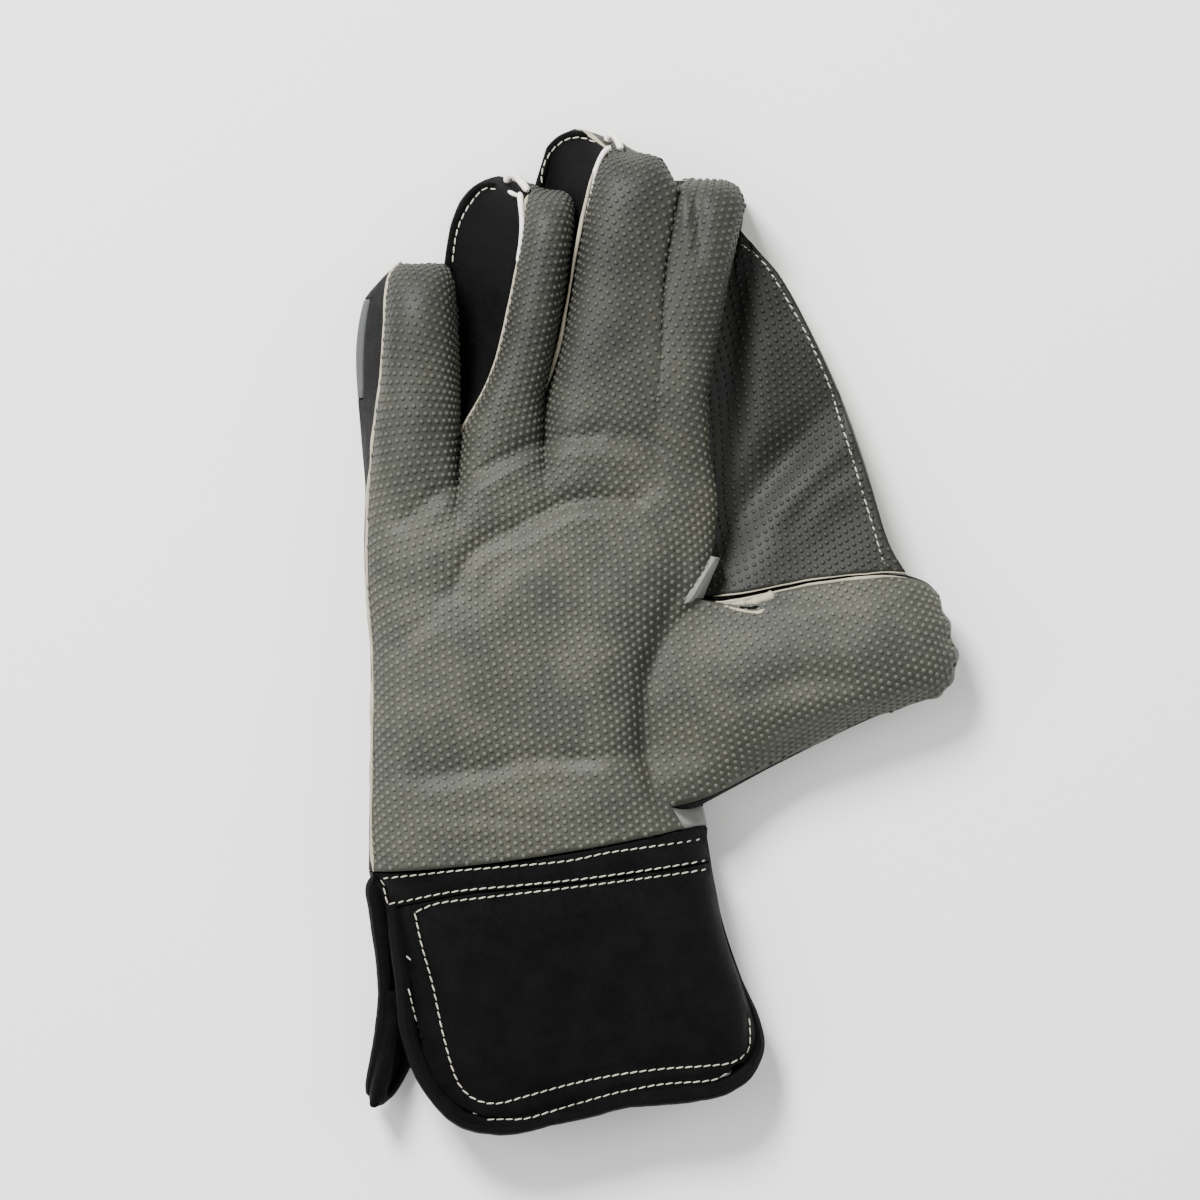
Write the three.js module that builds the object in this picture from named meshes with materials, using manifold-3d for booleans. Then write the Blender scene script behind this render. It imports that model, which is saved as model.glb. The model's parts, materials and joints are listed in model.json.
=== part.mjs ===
// A right-hand wicketkeeping glove, empty, lying on its back with the rubber palm up.
// Millimetres. +X points to the thumb, +Y to the fingertips, +Z up from the palm.
// The whole glove is one hollow skin. It is cut along its seams into pieces, and each piece
// is a wall that is thickened inwards.
import * as THREE from 'three';
import { mergeVertices } from 'three/addons/utils/BufferGeometryUtils.js';
import Module from 'manifold-3d';

const wasm = await Module();
wasm.setup();

// Driving sizes of the hand
const HAND_WIDTH = 114;
const PALM_LENGTH = 130.5;
const LITTLE_LENGTH = 51.6;
const RING_LENGTH = 70.8;
const MIDDLE_LENGTH = 80.1;
const INDEX_LENGTH = 65.2;
const THUMB_LENGTH = 79.5;
const THUMB_WIDTH = 63;
const PALM_HEIGHT = 36;
const FINGER_HEIGHT = 34;
const THUMB_HEIGHT = 31;

// Driving sizes of the cuff
const CUFF_LENGTH = 78;
const CUFF_MOUTH_HEIGHT = 25;
const CUFF_EDGE_HEIGHT = 21.5;
const CUFF_CURL_HEIGHT = 10;
const CUFF_LIFT = 1.6;
const CURL_EDGE_RISE = 5.5;

// Walls, edges and trim
const RUBBER_WALL = 2.5;
const LEATHER_WALL = 2;
const TIP_WALLS = [0.9, 1.4];
const BACK_PADDING = 4;
const CUFF_PADDING = 4;
const BACK_EDGE_RISE = 4;
const SEAM_GAP = 0.5;
const BINDING_WIDTH = 5.7;
const PIPING_WIDTH = 1.9;
const TRIM_GAP = 0.4;
const CUT_GAP = 0.3;
const CUT_TOLERANCE = 0.03;
const WEB_GAP = 0.5;

// The least cosine that a corner of a piece is mitred with
const SHARPEST_CORNER = 0.5;

// How finely each part of the skin is divided
const FINGER_FACE_STEPS = 6;
const FINGER_BACK_STEPS = 3;
const WALL_STEPS = 3;
const THUMB_STEPS = 8;
const PALM_STEPS_ABOVE_THUMB = 10;
const WEB_STEPS_ACROSS = 8;
const ROLL_SIDES = 8;
const FOLD_SAMPLES = 40;

// Where the thumb joins the palm, as shares of the palm's length
const THUMB_FROM = 0.05;
const THUMB_TO = 0.53;

const table = (columns, rows) => rows.map(
  (row) => Object.fromEntries(columns.map((column, index) => [column, row[index]])));
const lerp = (from, to, share) => from + (to - from) * share;
const clamp = (value) => Math.min(1, Math.max(0, value));
const smooth = (value) => clamp(value) ** 2 * (3 - 2 * clamp(value));
const at = (x, y, z) => new THREE.Vector3(x, y, z);

// A column of a table at any place between its rows, as a smooth curve through them.
function pick(rows, column, place) {
  const key = Object.keys(rows[0])[0];
  let next = rows.findIndex((row) => row[key] >= place);
  if (next < 0) {
    next = rows.length - 1;
  }
  if (next === 0) {
    return rows[0][column];
  }
  const value = (index) => rows[Math.min(rows.length - 1, Math.max(0, index))][column];
  const share = clamp((place - rows[next - 1][key]) / (rows[next][key] - rows[next - 1][key]));
  const [a, b, c, d] = [value(next - 2), value(next - 1), value(next), value(next + 1)];
  const rise = (c - a) / 2;
  const fall = (d - b) / 2;
  return b + share * (rise + share * (3 * (c - b) - 2 * rise - fall
    + share * (2 * (b - c) + rise + fall)));
}

// The edges of the palm. x is a share of the hand's width, height one of the palm's height.
const PALM_LEFT = table(['along', 'face', 'back'], [
  [0, 0.045, 0.029],
  [0.1, 0.039, 0.034],
  [0.25, 0.042, 0.037],
  [0.5, 0.043, 0.037],
  [0.62, 0.032, 0.024],
  [0.75, 0.029, 0.018],
  [0.87, 0.034, 0.021],
  [1, 0.047, 0.008],
]);
const PALM_RIGHT = table(['along', 'face', 'back', 'height'], [
  [0, 0.863, 0.924, 0.62],
  [0.07, 0.813, 0.905, 0.74],
  [0.17, 0.763, 0.88, 0.84],
  [0.3, 0.758, 0.87, 0.86],
  [0.42, 0.797, 0.88, 0.84],
  [0.53, 0.887, 0.925, 0.76],
  [0.62, 0.934, 0.95, 0.7],
  [0.75, 0.95, 0.962, 0.66],
  [0.87, 0.929, 0.955, 0.66],
  [1, 0.924, 0.955, 0.66],
]);
const PALM_CROWN = table(['along', 'height'], [[0, 0.88], [0.25, 0.94], [0.6, 1], [1, 0.94]]);
const PALM_LEFT_HEIGHT = 0.62;
// How square the arch of each section is: a power, larger for a flatter top.
const PALM_ARCH = 3.2;
const FINGER_ARCH = 0.7;
const THUMB_ARCH = 0.6;
// Where the palm's section starts to turn into the fingers', as a share of its length
const FINGERS_FROM = 0.74;

// The crotches between the fingers. x is a share of the hand's width, y of the palm's length,
// wrist the place of the same line across the wrist, height a share of the finger's height.
const CROTCHES = table(['order', 'face', 'y', 'back', 'wrist', 'height'], [
  [0, 0.047, 1, 0.008, 0, 0.66],
  [1, 0.276, 1, 0.226, 0.27, 0.62],
  [2, 0.497, 1.087, 0.465, 0.52, 0.6],
  [3, 0.795, 1.08, 0.76, 0.78, 0.94],
  [4, 0.924, 1.092, 0.955, 1, 0.68],
]);
const WRIST_LEFT_Y = -0.007;
const WRIST_RISE = 0.099;
const WRIST_CURVE = 1.6;

// The sections of each finger. faceAlong and backAlong are shares of its length, the four
// sides shares of the hand's width, and the last three shares of the finger's height.
const FINGER_COLUMNS = ['faceAlong', 'backAlong', 'backLeft', 'faceLeft', 'faceRight', 'backRight',
  'leftSeam', 'rightSeam', 'crown'];
const FINGERS = [
  {
    name: 'little', length: LITTLE_LENGTH, base: 1,
    sections: table(FINGER_COLUMNS, [
      [0.20, 0.20, 0.000, 0.061, 0.275, 0.221, 0.66, 0.62, 1.00],
      [0.44, 0.44, -0.008, 0.071, 0.274, 0.218, 0.66, 0.60, 1.00],
      [0.64, 0.64, 0.000, 0.076, 0.268, 0.218, 0.66, 0.60, 1.00],
      [0.80, 0.78, 0.016, 0.079, 0.263, 0.216, 0.64, 0.60, 0.95],
      [0.93, 0.88, 0.050, 0.087, 0.255, 0.208, 0.56, 0.54, 0.80],
      [0.99, 0.94, 0.095, 0.113, 0.229, 0.187, 0.42, 0.42, 0.52],
    ]),
  },
  {
    name: 'ring', length: RING_LENGTH, base: 1.046,
    sections: table(FINGER_COLUMNS, [
      [0.13, 0.15, 0.234, 0.353, 0.505, 0.459, 0.66, 0.60, 1.00],
      [0.32, 0.34, 0.234, 0.389, 0.529, 0.459, 0.68, 0.60, 1.00],
      [0.53, 0.55, 0.232, 0.413, 0.553, 0.460, 0.70, 0.60, 1.00],
      [0.72, 0.74, 0.239, 0.437, 0.568, 0.461, 0.70, 0.60, 1.00],
      [0.85, 0.88, 0.258, 0.445, 0.576, 0.462, 0.68, 0.58, 0.92],
      [0.92, 0.96, 0.297, 0.447, 0.566, 0.462, 0.60, 0.54, 0.76],
      [0.96, 1.00, 0.374, 0.463, 0.539, 0.458, 0.46, 0.44, 0.52],
    ]),
  },
  {
    name: 'middle', length: MIDDLE_LENGTH, base: 1.085,
    sections: table(FINGER_COLUMNS, [
      [0.12, 0.13, 0.484, 0.529, 0.796, 0.754, 0.64, 0.90, 1.00],
      [0.29, 0.31, 0.482, 0.555, 0.798, 0.756, 0.64, 0.86, 1.00],
      [0.48, 0.50, 0.476, 0.576, 0.806, 0.758, 0.66, 0.82, 1.00],
      [0.67, 0.69, 0.474, 0.600, 0.828, 0.760, 0.66, 0.78, 1.00],
      [0.80, 0.82, 0.476, 0.621, 0.838, 0.762, 0.64, 0.74, 0.95],
      [0.89, 0.94, 0.503, 0.647, 0.803, 0.745, 0.56, 0.54, 0.78],
      [0.93, 0.99, 0.574, 0.668, 0.750, 0.697, 0.44, 0.44, 0.52],
    ]),
  },
  {
    name: 'index', length: INDEX_LENGTH, base: 1.085,
    sections: table(FINGER_COLUMNS, [
      [0.15, 0.15, 0.768, 0.808, 0.937, 0.966, 0.90, 0.66, 0.98],
      [0.35, 0.35, 0.770, 0.810, 0.958, 0.979, 0.86, 0.66, 0.98],
      [0.58, 0.58, 0.772, 0.820, 0.984, 0.997, 0.82, 0.66, 0.98],
      [0.78, 0.78, 0.776, 0.843, 1.011, 1.016, 0.78, 0.66, 0.98],
      [0.90, 0.90, 0.782, 0.850, 1.018, 1.021, 0.70, 0.62, 0.92],
      [0.96, 0.96, 0.797, 0.858, 1.005, 1.008, 0.54, 0.54, 0.78],
      [0.99, 1.00, 0.834, 0.882, 0.971, 0.966, 0.44, 0.44, 0.52],
    ]),
  },
];
const FINGER_TIP_RISE = 4;

// The thumb's outline, from its base out. x is a share of its length, y one of its width.
const THUMB_BASE_X = 0.882;
const THUMB_BASE_Y = 0.138;
const THUMB_EDGES = table(['along', 'topX', 'topY', 'bottomX', 'bottomY'], [
  [0, 0.008, 0.986, -0.057, -0.005],
  [0.1, 0.109, 0.971, 0.049, 0.038],
  [0.25, 0.253, 1.014, 0.208, 0.143],
  [0.4, 0.396, 1.057, 0.358, 0.238],
  [0.55, 0.547, 1.086, 0.509, 0.333],
  [0.7, 0.687, 1.105, 0.66, 0.424],
  [0.82, 0.811, 1.105, 0.781, 0.481],
  [0.93, 0.887, 1.076, 0.875, 0.51],
  [1, 0.921, 1.029, 0.932, 0.538],
]);
const THUMB_TIP = table(['across', 'x', 'y'], [
  [0, 0.932, 0.538],
  [0.15, 0.966, 0.586],
  [0.33, 0.996, 0.686],
  [0.55, 0.974, 0.81],
  [0.7, 0.966, 0.876],
  [0.85, 0.932, 0.952],
  [1, 0.921, 1.029],
]);
const THUMB_TOP_HEIGHT = 0.76;
const THUMB_BOTTOM_HEIGHT = 0.4;
const THUMB_TIP_HEIGHT = 0.5;
const THUMB_FULL_AT = 0.4;
const THUMB_ROUND_FROM = 0.66;
const THUMB_BACK_SHRINK = 0.86;

// Folds pressed into the palm: from and to as shares of the hand's width and the palm's
// length, bow as a share of the fold's own length, width and depth of the palm's height.
const PALM_FOLDS = table(['fromX', 'fromY', 'toX', 'toY', 'bow', 'width', 'depth'], [
  [0.126, 0.798, 0.621, 0.993, 0.08, 0.2, 0.05],
  [0.758, 0.993, 0.945, 0.752, 0.12, 0.2, 0.045],
  [0.279, 0.63, 0.729, 0.846, 0.16, 0.2, 0.055],
  [0.729, 0.846, 0.845, 0.703, 0.1, 0.2, 0.04],
  [0.179, 0.218, 0.742, 0.274, -0.03, 0.2, 0.06],
  [0.837, 0.63, 0.758, 0.26, -0.12, 0.22, 0.08],
  [0.758, 0.26, 0.837, 0.09, -0.08, 0.2, 0.05],
]);

// The ridge below each fold: how many widths away, and its height as a share of the depth
const FOLD_RIDGE = { away: 1.5, height: 0.55 };

// The cuff. left and right are shares of the hand's width, curl the left side of the back.
const CUFF_SIDES = table(['along', 'left', 'right', 'curl'], [
  [0, 0.047, 0.913, 0.03],
  [0.13, 0.1, 0.92, 0.045],
  [0.25, 0.118, 0.928, 0.056],
  [0.4, 0.138, 0.942, 0.07],
  [0.55, 0.155, 0.968, 0.078],
  [0.7, 0.172, 1, 0.074],
  [0.82, 0.194, 1.022, 0.066],
  [0.92, 0.226, 1.032, 0.056],
  [1, 0.274, 1.008, 0.045],
]);
// How far down each line of the cuff reaches, as shares of the cuff's length.
const FRONT_DROP = table(['across', 'drop'], [
  [0, 0.89], [0.1, 0.935], [0.25, 0.946], [0.5, 0.915], [0.75, 0.927], [0.9, 0.938], [1, 0.89],
]);
const BACK_DROP = table(['across', 'drop'], [
  [0, 0.8], [0.05, 0.62], [0.1, 0.53], [0.3, 0.52], [0.6, 0.64], [1, 0.885],
]);
const CURL_DROP = 0.83;
const CURL_BEND = 0.02;
const CURL_DOWN_AT = 0.33;
const CUFF_ARCH = 2.4;

// How far each wall bulges outwards between its seams, in millimetres.
const BULGES = {
  outer_side: 0.5,
  fourchette_little_ring: 0,
  fourchette_ring_middle: 0,
  fourchette_middle_index: 0,
  index_side: 0.3,
  thumb_side: 1.5,
  wrist_gusset: 2,
};
const CUFF_BULGE = 4;

const COLOURS = {
  rubber: [0x66665f, 0.75],
  leather: [0x17171a, 0.5],
  suede: [0x8f908c, 0.9],
  piping: [0xd9d6cc, 0.6],
  patch: [0x6f7173, 0.7],
};

// The skin: shared points, and faces that each belong to a piece.
const points = [];
const faces = [];

function point(position) {
  points.push(position);
  return points.length - 1;
}

function quad(piece, a, b, c, d) {
  const shortFirst = points[a].distanceTo(points[c]) <= points[b].distanceTo(points[d]);
  if (shortFirst) {
    faces.push({ piece, corners: [a, b, c] }, { piece, corners: [a, c, d] });
  } else {
    faces.push({ piece, corners: [a, b, d] }, { piece, corners: [b, c, d] });
  }
}

// Faces between two rows of points, with the second row above the first.
function band(pieceOf, lower, upper) {
  for (let i = 0; i + 1 < lower.length; i += 1) {
    quad(pieceOf(i), lower[i], lower[i + 1], upper[i + 1], upper[i]);
  }
}

// Rows of the palm, as shares of its length: one below the thumb, the thumb's, those above.
const PALM_ROWS = [0];
for (let i = 0; i <= THUMB_STEPS; i += 1) {
  PALM_ROWS.push(lerp(THUMB_FROM, THUMB_TO, i / THUMB_STEPS));
}
for (let i = 1; i <= PALM_STEPS_ABOVE_THUMB; i += 1) {
  PALM_ROWS.push(lerp(THUMB_TO, 1, i / PALM_STEPS_ABOVE_THUMB));
}
const TOP_ROW = PALM_ROWS.length - 1;
const FIRST_THUMB_ROW = 1;
const LAST_THUMB_ROW = FIRST_THUMB_ROW + THUMB_STEPS;

const wristY = (across) => WRIST_LEFT_Y + WRIST_RISE * across ** WRIST_CURVE;

// A place across the palm, counted in fingers from 0 at the little finger to 4.
function acrossPalm(fingers, along, side, arched) {
  const left = Math.min(3, Math.floor(fingers));
  const share = fingers - left;
  const spread = arched ? lerp(share, (1 - Math.cos(Math.PI * share)) / 2, smooth(along)) : share;
  const edge = (rows) => pick(rows, side, along);
  const span = CROTCHES[4][side] - CROTCHES[0][side];
  const lineAt = (row) => lerp(row.wrist, (row[side] - CROTCHES[0][side]) / span, along);
  const line = lerp(lineAt(CROTCHES[left]), lineAt(CROTCHES[left + 1]), spread);
  const crotchY = lerp(CROTCHES[left].y, CROTCHES[left + 1].y, share);
  const wristLine = lerp(CROTCHES[left].wrist, CROTCHES[left + 1].wrist, share);
  return {
    line,
    x: HAND_WIDTH * lerp(edge(PALM_LEFT), edge(PALM_RIGHT), line),
    y: PALM_LENGTH * lerp(wristY(wristLine), crotchY, along),
  };
}

// The depth of all palm folds at one place: a groove with a ridge on its lower side.
function foldDepth(x, y) {
  let depth = 0;
  for (const fold of PALM_FOLDS) {
    const from = new THREE.Vector2(fold.fromX * HAND_WIDTH, fold.fromY * PALM_LENGTH);
    const to = new THREE.Vector2(fold.toX * HAND_WIDTH, fold.toY * PALM_LENGTH);
    const run = to.clone().sub(from);
    const side = new THREE.Vector2(-run.y, run.x);
    const middle = from.clone().lerp(to, 0.5).addScaledVector(side, 2 * fold.bow);
    const curve = new THREE.QuadraticBezierCurve(from, middle, to);
    const place = new THREE.Vector2(x, y);
    const samples = curve.getPoints(FOLD_SAMPLES);
    let nearest = 0;
    samples.forEach((sample, index) => {
      if (sample.distanceTo(place) < samples[nearest].distanceTo(place)) {
        nearest = index;
      }
    });
    const away = place.clone().sub(samples[nearest]);
    const below = -Math.sign(away.dot(side)) * away.length() / (fold.width * PALM_HEIGHT);
    const groove = Math.exp(-(below ** 2));
    const ridge = Math.exp(-((below - FOLD_RIDGE.away) ** 2));
    depth += fold.depth * PALM_HEIGHT * (groove - FOLD_RIDGE.height * ridge);
  }
  return depth;
}

const fingerArch = (share) => Math.sin(Math.PI * share) ** FINGER_ARCH;
const palmArch = (line) => Math.sqrt(1 - Math.abs(2 * line - 1) ** PALM_ARCH);

function palmHeight(fingers, along, place) {
  const crown = PALM_HEIGHT * pick(PALM_CROWN, 'height', along);
  const right = PALM_HEIGHT * pick(PALM_RIGHT, 'height', along);
  const edge = place.line < 0.5 ? PALM_HEIGHT * PALM_LEFT_HEIGHT : right;
  const palm = lerp(edge, crown, palmArch(place.line)) - foldDepth(place.x, place.y);
  const left = Math.min(3, Math.floor(fingers));
  const share = fingers - left;
  const seam = FINGER_HEIGHT * lerp(CROTCHES[left].height, CROTCHES[left + 1].height, share);
  const finger = lerp(seam, FINGER_HEIGHT, fingerArch(share));
  return lerp(palm, finger, smooth((along - FINGERS_FROM) / (1 - FINGERS_FROM)));
}

// Palm and back of the hand
const faceSteps = 4 * FINGER_FACE_STEPS;
const backSteps = 4 * FINGER_BACK_STEPS;
const palmFace = PALM_ROWS.map((along) => Array.from({ length: faceSteps + 1 }, (_, i) => {
  const fingers = i / FINGER_FACE_STEPS;
  const place = acrossPalm(fingers, along, 'face', true);
  return point(at(place.x, place.y, palmHeight(fingers, along, place)));
}));
const palmBack = PALM_ROWS.map((along, row) => Array.from({ length: backSteps + 1 }, (_, i) => {
  const place = acrossPalm(i / FINGER_BACK_STEPS, along, 'back', false);
  const inThumb = row > FIRST_THUMB_ROW && row < LAST_THUMB_ROW;
  const onEdge = i === 0 || (i === backSteps && !inThumb);
  const onCrotch = row === TOP_ROW && i % FINGER_BACK_STEPS === 0;
  return point(at(place.x, place.y, onEdge || onCrotch ? BACK_EDGE_RISE : 0));
}));
for (let row = 0; row < TOP_ROW; row += 1) {
  band(() => 'palm_facing', palmFace[row], palmFace[row + 1]);
  band(() => 'glove_back', [...palmBack[row]].reverse(), [...palmBack[row + 1]].reverse());
}

// The fingers
const fingers = FINGERS.map((finger, order) => {
  const baseY = PALM_LENGTH * finger.base;
  const firstFace = order * FINGER_FACE_STEPS;
  const firstBack = order * FINGER_BACK_STEPS;
  const face = [palmFace[TOP_ROW].slice(firstFace, firstFace + FINGER_FACE_STEPS + 1)];
  const back = [palmBack[TOP_ROW].slice(firstBack, firstBack + FINGER_BACK_STEPS + 1)];
  finger.sections.forEach((section, index) => {
    const last = index === finger.sections.length - 1;
    const faceY = baseY + finger.length * section.faceAlong;
    const backY = baseY + finger.length * section.backAlong;
    face.push(Array.from({ length: FINGER_FACE_STEPS + 1 }, (_, i) => {
      const share = i / FINGER_FACE_STEPS;
      const spread = (1 - Math.cos(Math.PI * share)) / 2;
      const seam = lerp(section.leftSeam, section.rightSeam, share);
      const x = HAND_WIDTH * lerp(section.faceLeft, section.faceRight, spread);
      return point(at(x, faceY, FINGER_HEIGHT * lerp(seam, section.crown, fingerArch(share))));
    }));
    back.push(Array.from({ length: FINGER_BACK_STEPS + 1 }, (_, i) => {
      const share = i / FINGER_BACK_STEPS;
      const onEdge = i === 0 || i === FINGER_BACK_STEPS;
      const x = HAND_WIDTH * lerp(section.backLeft, section.backRight, share);
      return point(at(x, backY, onEdge || last ? FINGER_TIP_RISE : 0));
    }));
  });
  for (let row = 0; row + 1 < face.length; row += 1) {
    band(() => 'palm_facing', face[row], face[row + 1]);
    band(() => 'glove_back', [...back[row]].reverse(), [...back[row + 1]].reverse());
  }
  return { face, back };
});

// The thumb: a patch between its base, its two edges and its tip.
const thumbX = (share) => THUMB_BASE_X * HAND_WIDTH + THUMB_LENGTH * share;
const thumbY = (share) => THUMB_BASE_Y * PALM_LENGTH + THUMB_WIDTH * share;

function thumbGrid(border, shrink, heightOf) {
  const start = border.map((index) => points[index]);
  const axisY = thumbY(0.5 * (THUMB_TIP[0].y + THUMB_TIP.at(-1).y));
  const drawIn = (x, y, along) => new THREE.Vector2(
    lerp(x, lerp(x, thumbX(0.5), 1 - shrink), along ** 4), lerp(lerp(axisY, y, shrink), y, 1 - along));
  const bottom = THUMB_EDGES.map((row) => drawIn(thumbX(row.bottomX), thumbY(row.bottomY), row.along));
  const top = THUMB_EDGES.map((row) => drawIn(thumbX(row.topX), thumbY(row.topY), row.along));
  return border.map((_, row) => {
    const across = row / THUMB_STEPS;
    const tip = drawIn(thumbX(pick(THUMB_TIP, 'x', across)), thumbY(pick(THUMB_TIP, 'y', across)), 1);
    return THUMB_EDGES.map((edge, column) => {
      if (column === 0) {
        return border[row];
      }
      const along = edge.along;
      const mix = (axis) => {
        const from = start[row][axis];
        const edges = lerp(bottom[column][axis], top[column][axis], across);
        const ends = lerp(from, tip[axis], along);
        const corners = lerp(
          lerp(start[0][axis], bottom.at(-1)[axis], along),
          lerp(start.at(-1)[axis], top.at(-1)[axis], along), across);
        return edges + ends - corners;
      };
      return point(at(mix('x'), mix('y'), heightOf(across, along, start[row].z)));
    });
  });
}

function thumbFaceHeight(across, along, baseHeight) {
  const edge = lerp(THUMB_BOTTOM_HEIGHT, THUMB_TOP_HEIGHT, across);
  const arch = Math.sin(Math.PI * across) ** THUMB_ARCH;
  const section = THUMB_HEIGHT * lerp(edge, 1, arch);
  const past = clamp((along - THUMB_ROUND_FROM) / (1 - THUMB_ROUND_FROM));
  const tipEdge = THUMB_HEIGHT * THUMB_TIP_HEIGHT;
  const rounded = tipEdge + (section - tipEdge) * Math.sqrt(1 - past ** 2);
  return lerp(baseHeight, rounded, smooth(along / THUMB_FULL_AT));
}

const thumbRows = Array.from({ length: THUMB_STEPS + 1 }, (_, i) => FIRST_THUMB_ROW + i);
const thumbFace = thumbGrid(thumbRows.map((row) => palmFace[row][faceSteps]), 1, thumbFaceHeight);
const thumbBack = thumbGrid(
  thumbRows.map((row) => palmBack[row][backSteps]), THUMB_BACK_SHRINK,
  (across, along) => (across === 0 || across === 1 || along === 1 ? BACK_EDGE_RISE : 0));
for (let row = 0; row < THUMB_STEPS; row += 1) {
  band(() => 'palm_facing', thumbFace[row], thumbFace[row + 1]);
  band(() => 'glove_back', [...thumbBack[row]].reverse(), [...thumbBack[row + 1]].reverse());
}

// The side walls, as runs of stations that go clockwise round the hand.
const stationAt = new Map();

function station(face, back) {
  if (!stationAt.has(face)) {
    stationAt.set(face, { face, back, column: null, outward: null });
  }
  return stationAt.get(face);
}

function fingerSide(order, side) {
  const finger = fingers[order];
  const pickSide = (row) => (side === 'left' ? row[0] : row.at(-1));
  return finger.face.map((row, index) => station(pickSide(row), pickSide(finger.back[index])));
}

const leftPalm = PALM_ROWS.map((_, row) => station(palmFace[row][0], palmBack[row][0]));
const rightPalm = PALM_ROWS.map(
  (_, row) => station(palmFace[row][faceSteps], palmBack[row][backSteps]));
const thumbTop = thumbFace.at(-1).map((face, i) => station(face, thumbBack.at(-1)[i]));
const thumbEnd = thumbFace.map((row, i) => station(row.at(-1), thumbBack[i].at(-1))).reverse();
const thumbBottom = thumbFace[0].map((face, i) => station(face, thumbBack[0][i])).reverse();
const between = (order) => [
  ...fingerSide(order, 'right').reverse(), ...fingerSide(order + 1, 'left').slice(1)];
const rightDown = [...rightPalm].reverse();
const cornerStep = TOP_ROW - LAST_THUMB_ROW;
const RUNS = [
  ['outer_side', [...leftPalm, ...fingerSide(0, 'left').slice(1)]],
  ['fourchette_little_ring', between(0)],
  ['fourchette_ring_middle', between(1)],
  ['fourchette_middle_index', between(2)],
  ['index_side', [...fingerSide(3, 'right').reverse(), ...rightDown.slice(1, cornerStep + 1)]],
  ['thumb_side', [...thumbTop, ...thumbEnd.slice(1), ...thumbBottom.slice(1)]],
  ['wrist_gusset', [rightPalm[FIRST_THUMB_ROW], rightPalm[0]]],
];

// Points of one station's wall from the face's seam down to the back's.
function fillStation(current, before, after, bulge) {
  const face = points[current.face];
  const back = points[current.back];
  const way = points[after.face].clone().sub(points[before.face]);
  current.outward = at(-way.y, way.x, 0).normalize();
  current.column = [current.face];
  for (let step = 1; step < WALL_STEPS; step += 1) {
    const share = step / WALL_STEPS;
    const place = face.clone().lerp(back, share);
    place.addScaledVector(current.outward, bulge * Math.sin(Math.PI * share));
    current.column.push(point(place));
  }
  current.column.push(current.back);
}

// Parts of a wall that are another piece: wall, first and last station, first and last step.
const INSETS = table(['wall', 'piece', 'from', 'to', 'top', 'bottom'], [
  ['outer_side', 'side_patch', PALM_ROWS.length, PALM_ROWS.length + 3, 2, 3],
  ['index_side', 'crotch_tab', FINGERS[3].sections.length + cornerStep - 2,
    FINGERS[3].sections.length + cornerStep, 0, 2],
]);

for (const [piece, run] of RUNS) {
  run.forEach((current, index) => {
    if (!current.column) {
      fillStation(current, run[Math.max(0, index - 1)], run[Math.min(run.length - 1, index + 1)],
        BULGES[piece]);
    }
  });
  for (let i = 0; i + 1 < run.length; i += 1) {
    for (let step = 0; step < WALL_STEPS; step += 1) {
      const inset = INSETS.find((row) => row.wall === piece && i >= row.from && i < row.to
        && step >= row.top && step < row.bottom);
      const [a, b] = [run[i].column, run[i + 1].column];
      quad(inset ? inset.piece : piece, a[step], b[step], b[step + 1], a[step + 1]);
    }
  }
}

// The rubber face goes round each fingertip to the back.
fingers.forEach(({ face, back }) => {
  const left = stationAt.get(face.at(-1)[0]).column;
  const right = stationAt.get(face.at(-1).at(-1)).column;
  const upper = [...left.slice(1, -1).reverse(), ...face.at(-1), ...right.slice(1, -1)];
  const lower = back.at(-1);
  let [high, low] = [0, 0];
  while (high + 1 < upper.length || low + 1 < lower.length) {
    const highShare = (high + 0.5) / (upper.length - 1);
    const lowShare = (low + 0.5) / (lower.length - 1);
    if (low + 1 >= lower.length || (high + 1 < upper.length && highShare <= lowShare)) {
      faces.push({ piece: 'palm_facing', corners: [upper[high], upper[high + 1], lower[low]] });
      high += 1;
    } else {
      faces.push({ piece: 'palm_facing', corners: [upper[high], lower[low + 1], lower[low]] });
      low += 1;
    }
  }
});

// The cuff, row by row from the wrist. Each row goes round from the left edge of the front,
// over the right side and the back to the curled left edge of the back.
const cuffY = (wrist, drop, along) => PALM_LENGTH * wrist - CUFF_LENGTH * drop * along;
const wristPlaces = palmFace[0].map((_, i) => acrossPalm(i / FINGER_FACE_STEPS, 0, 'face', true).line);

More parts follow.
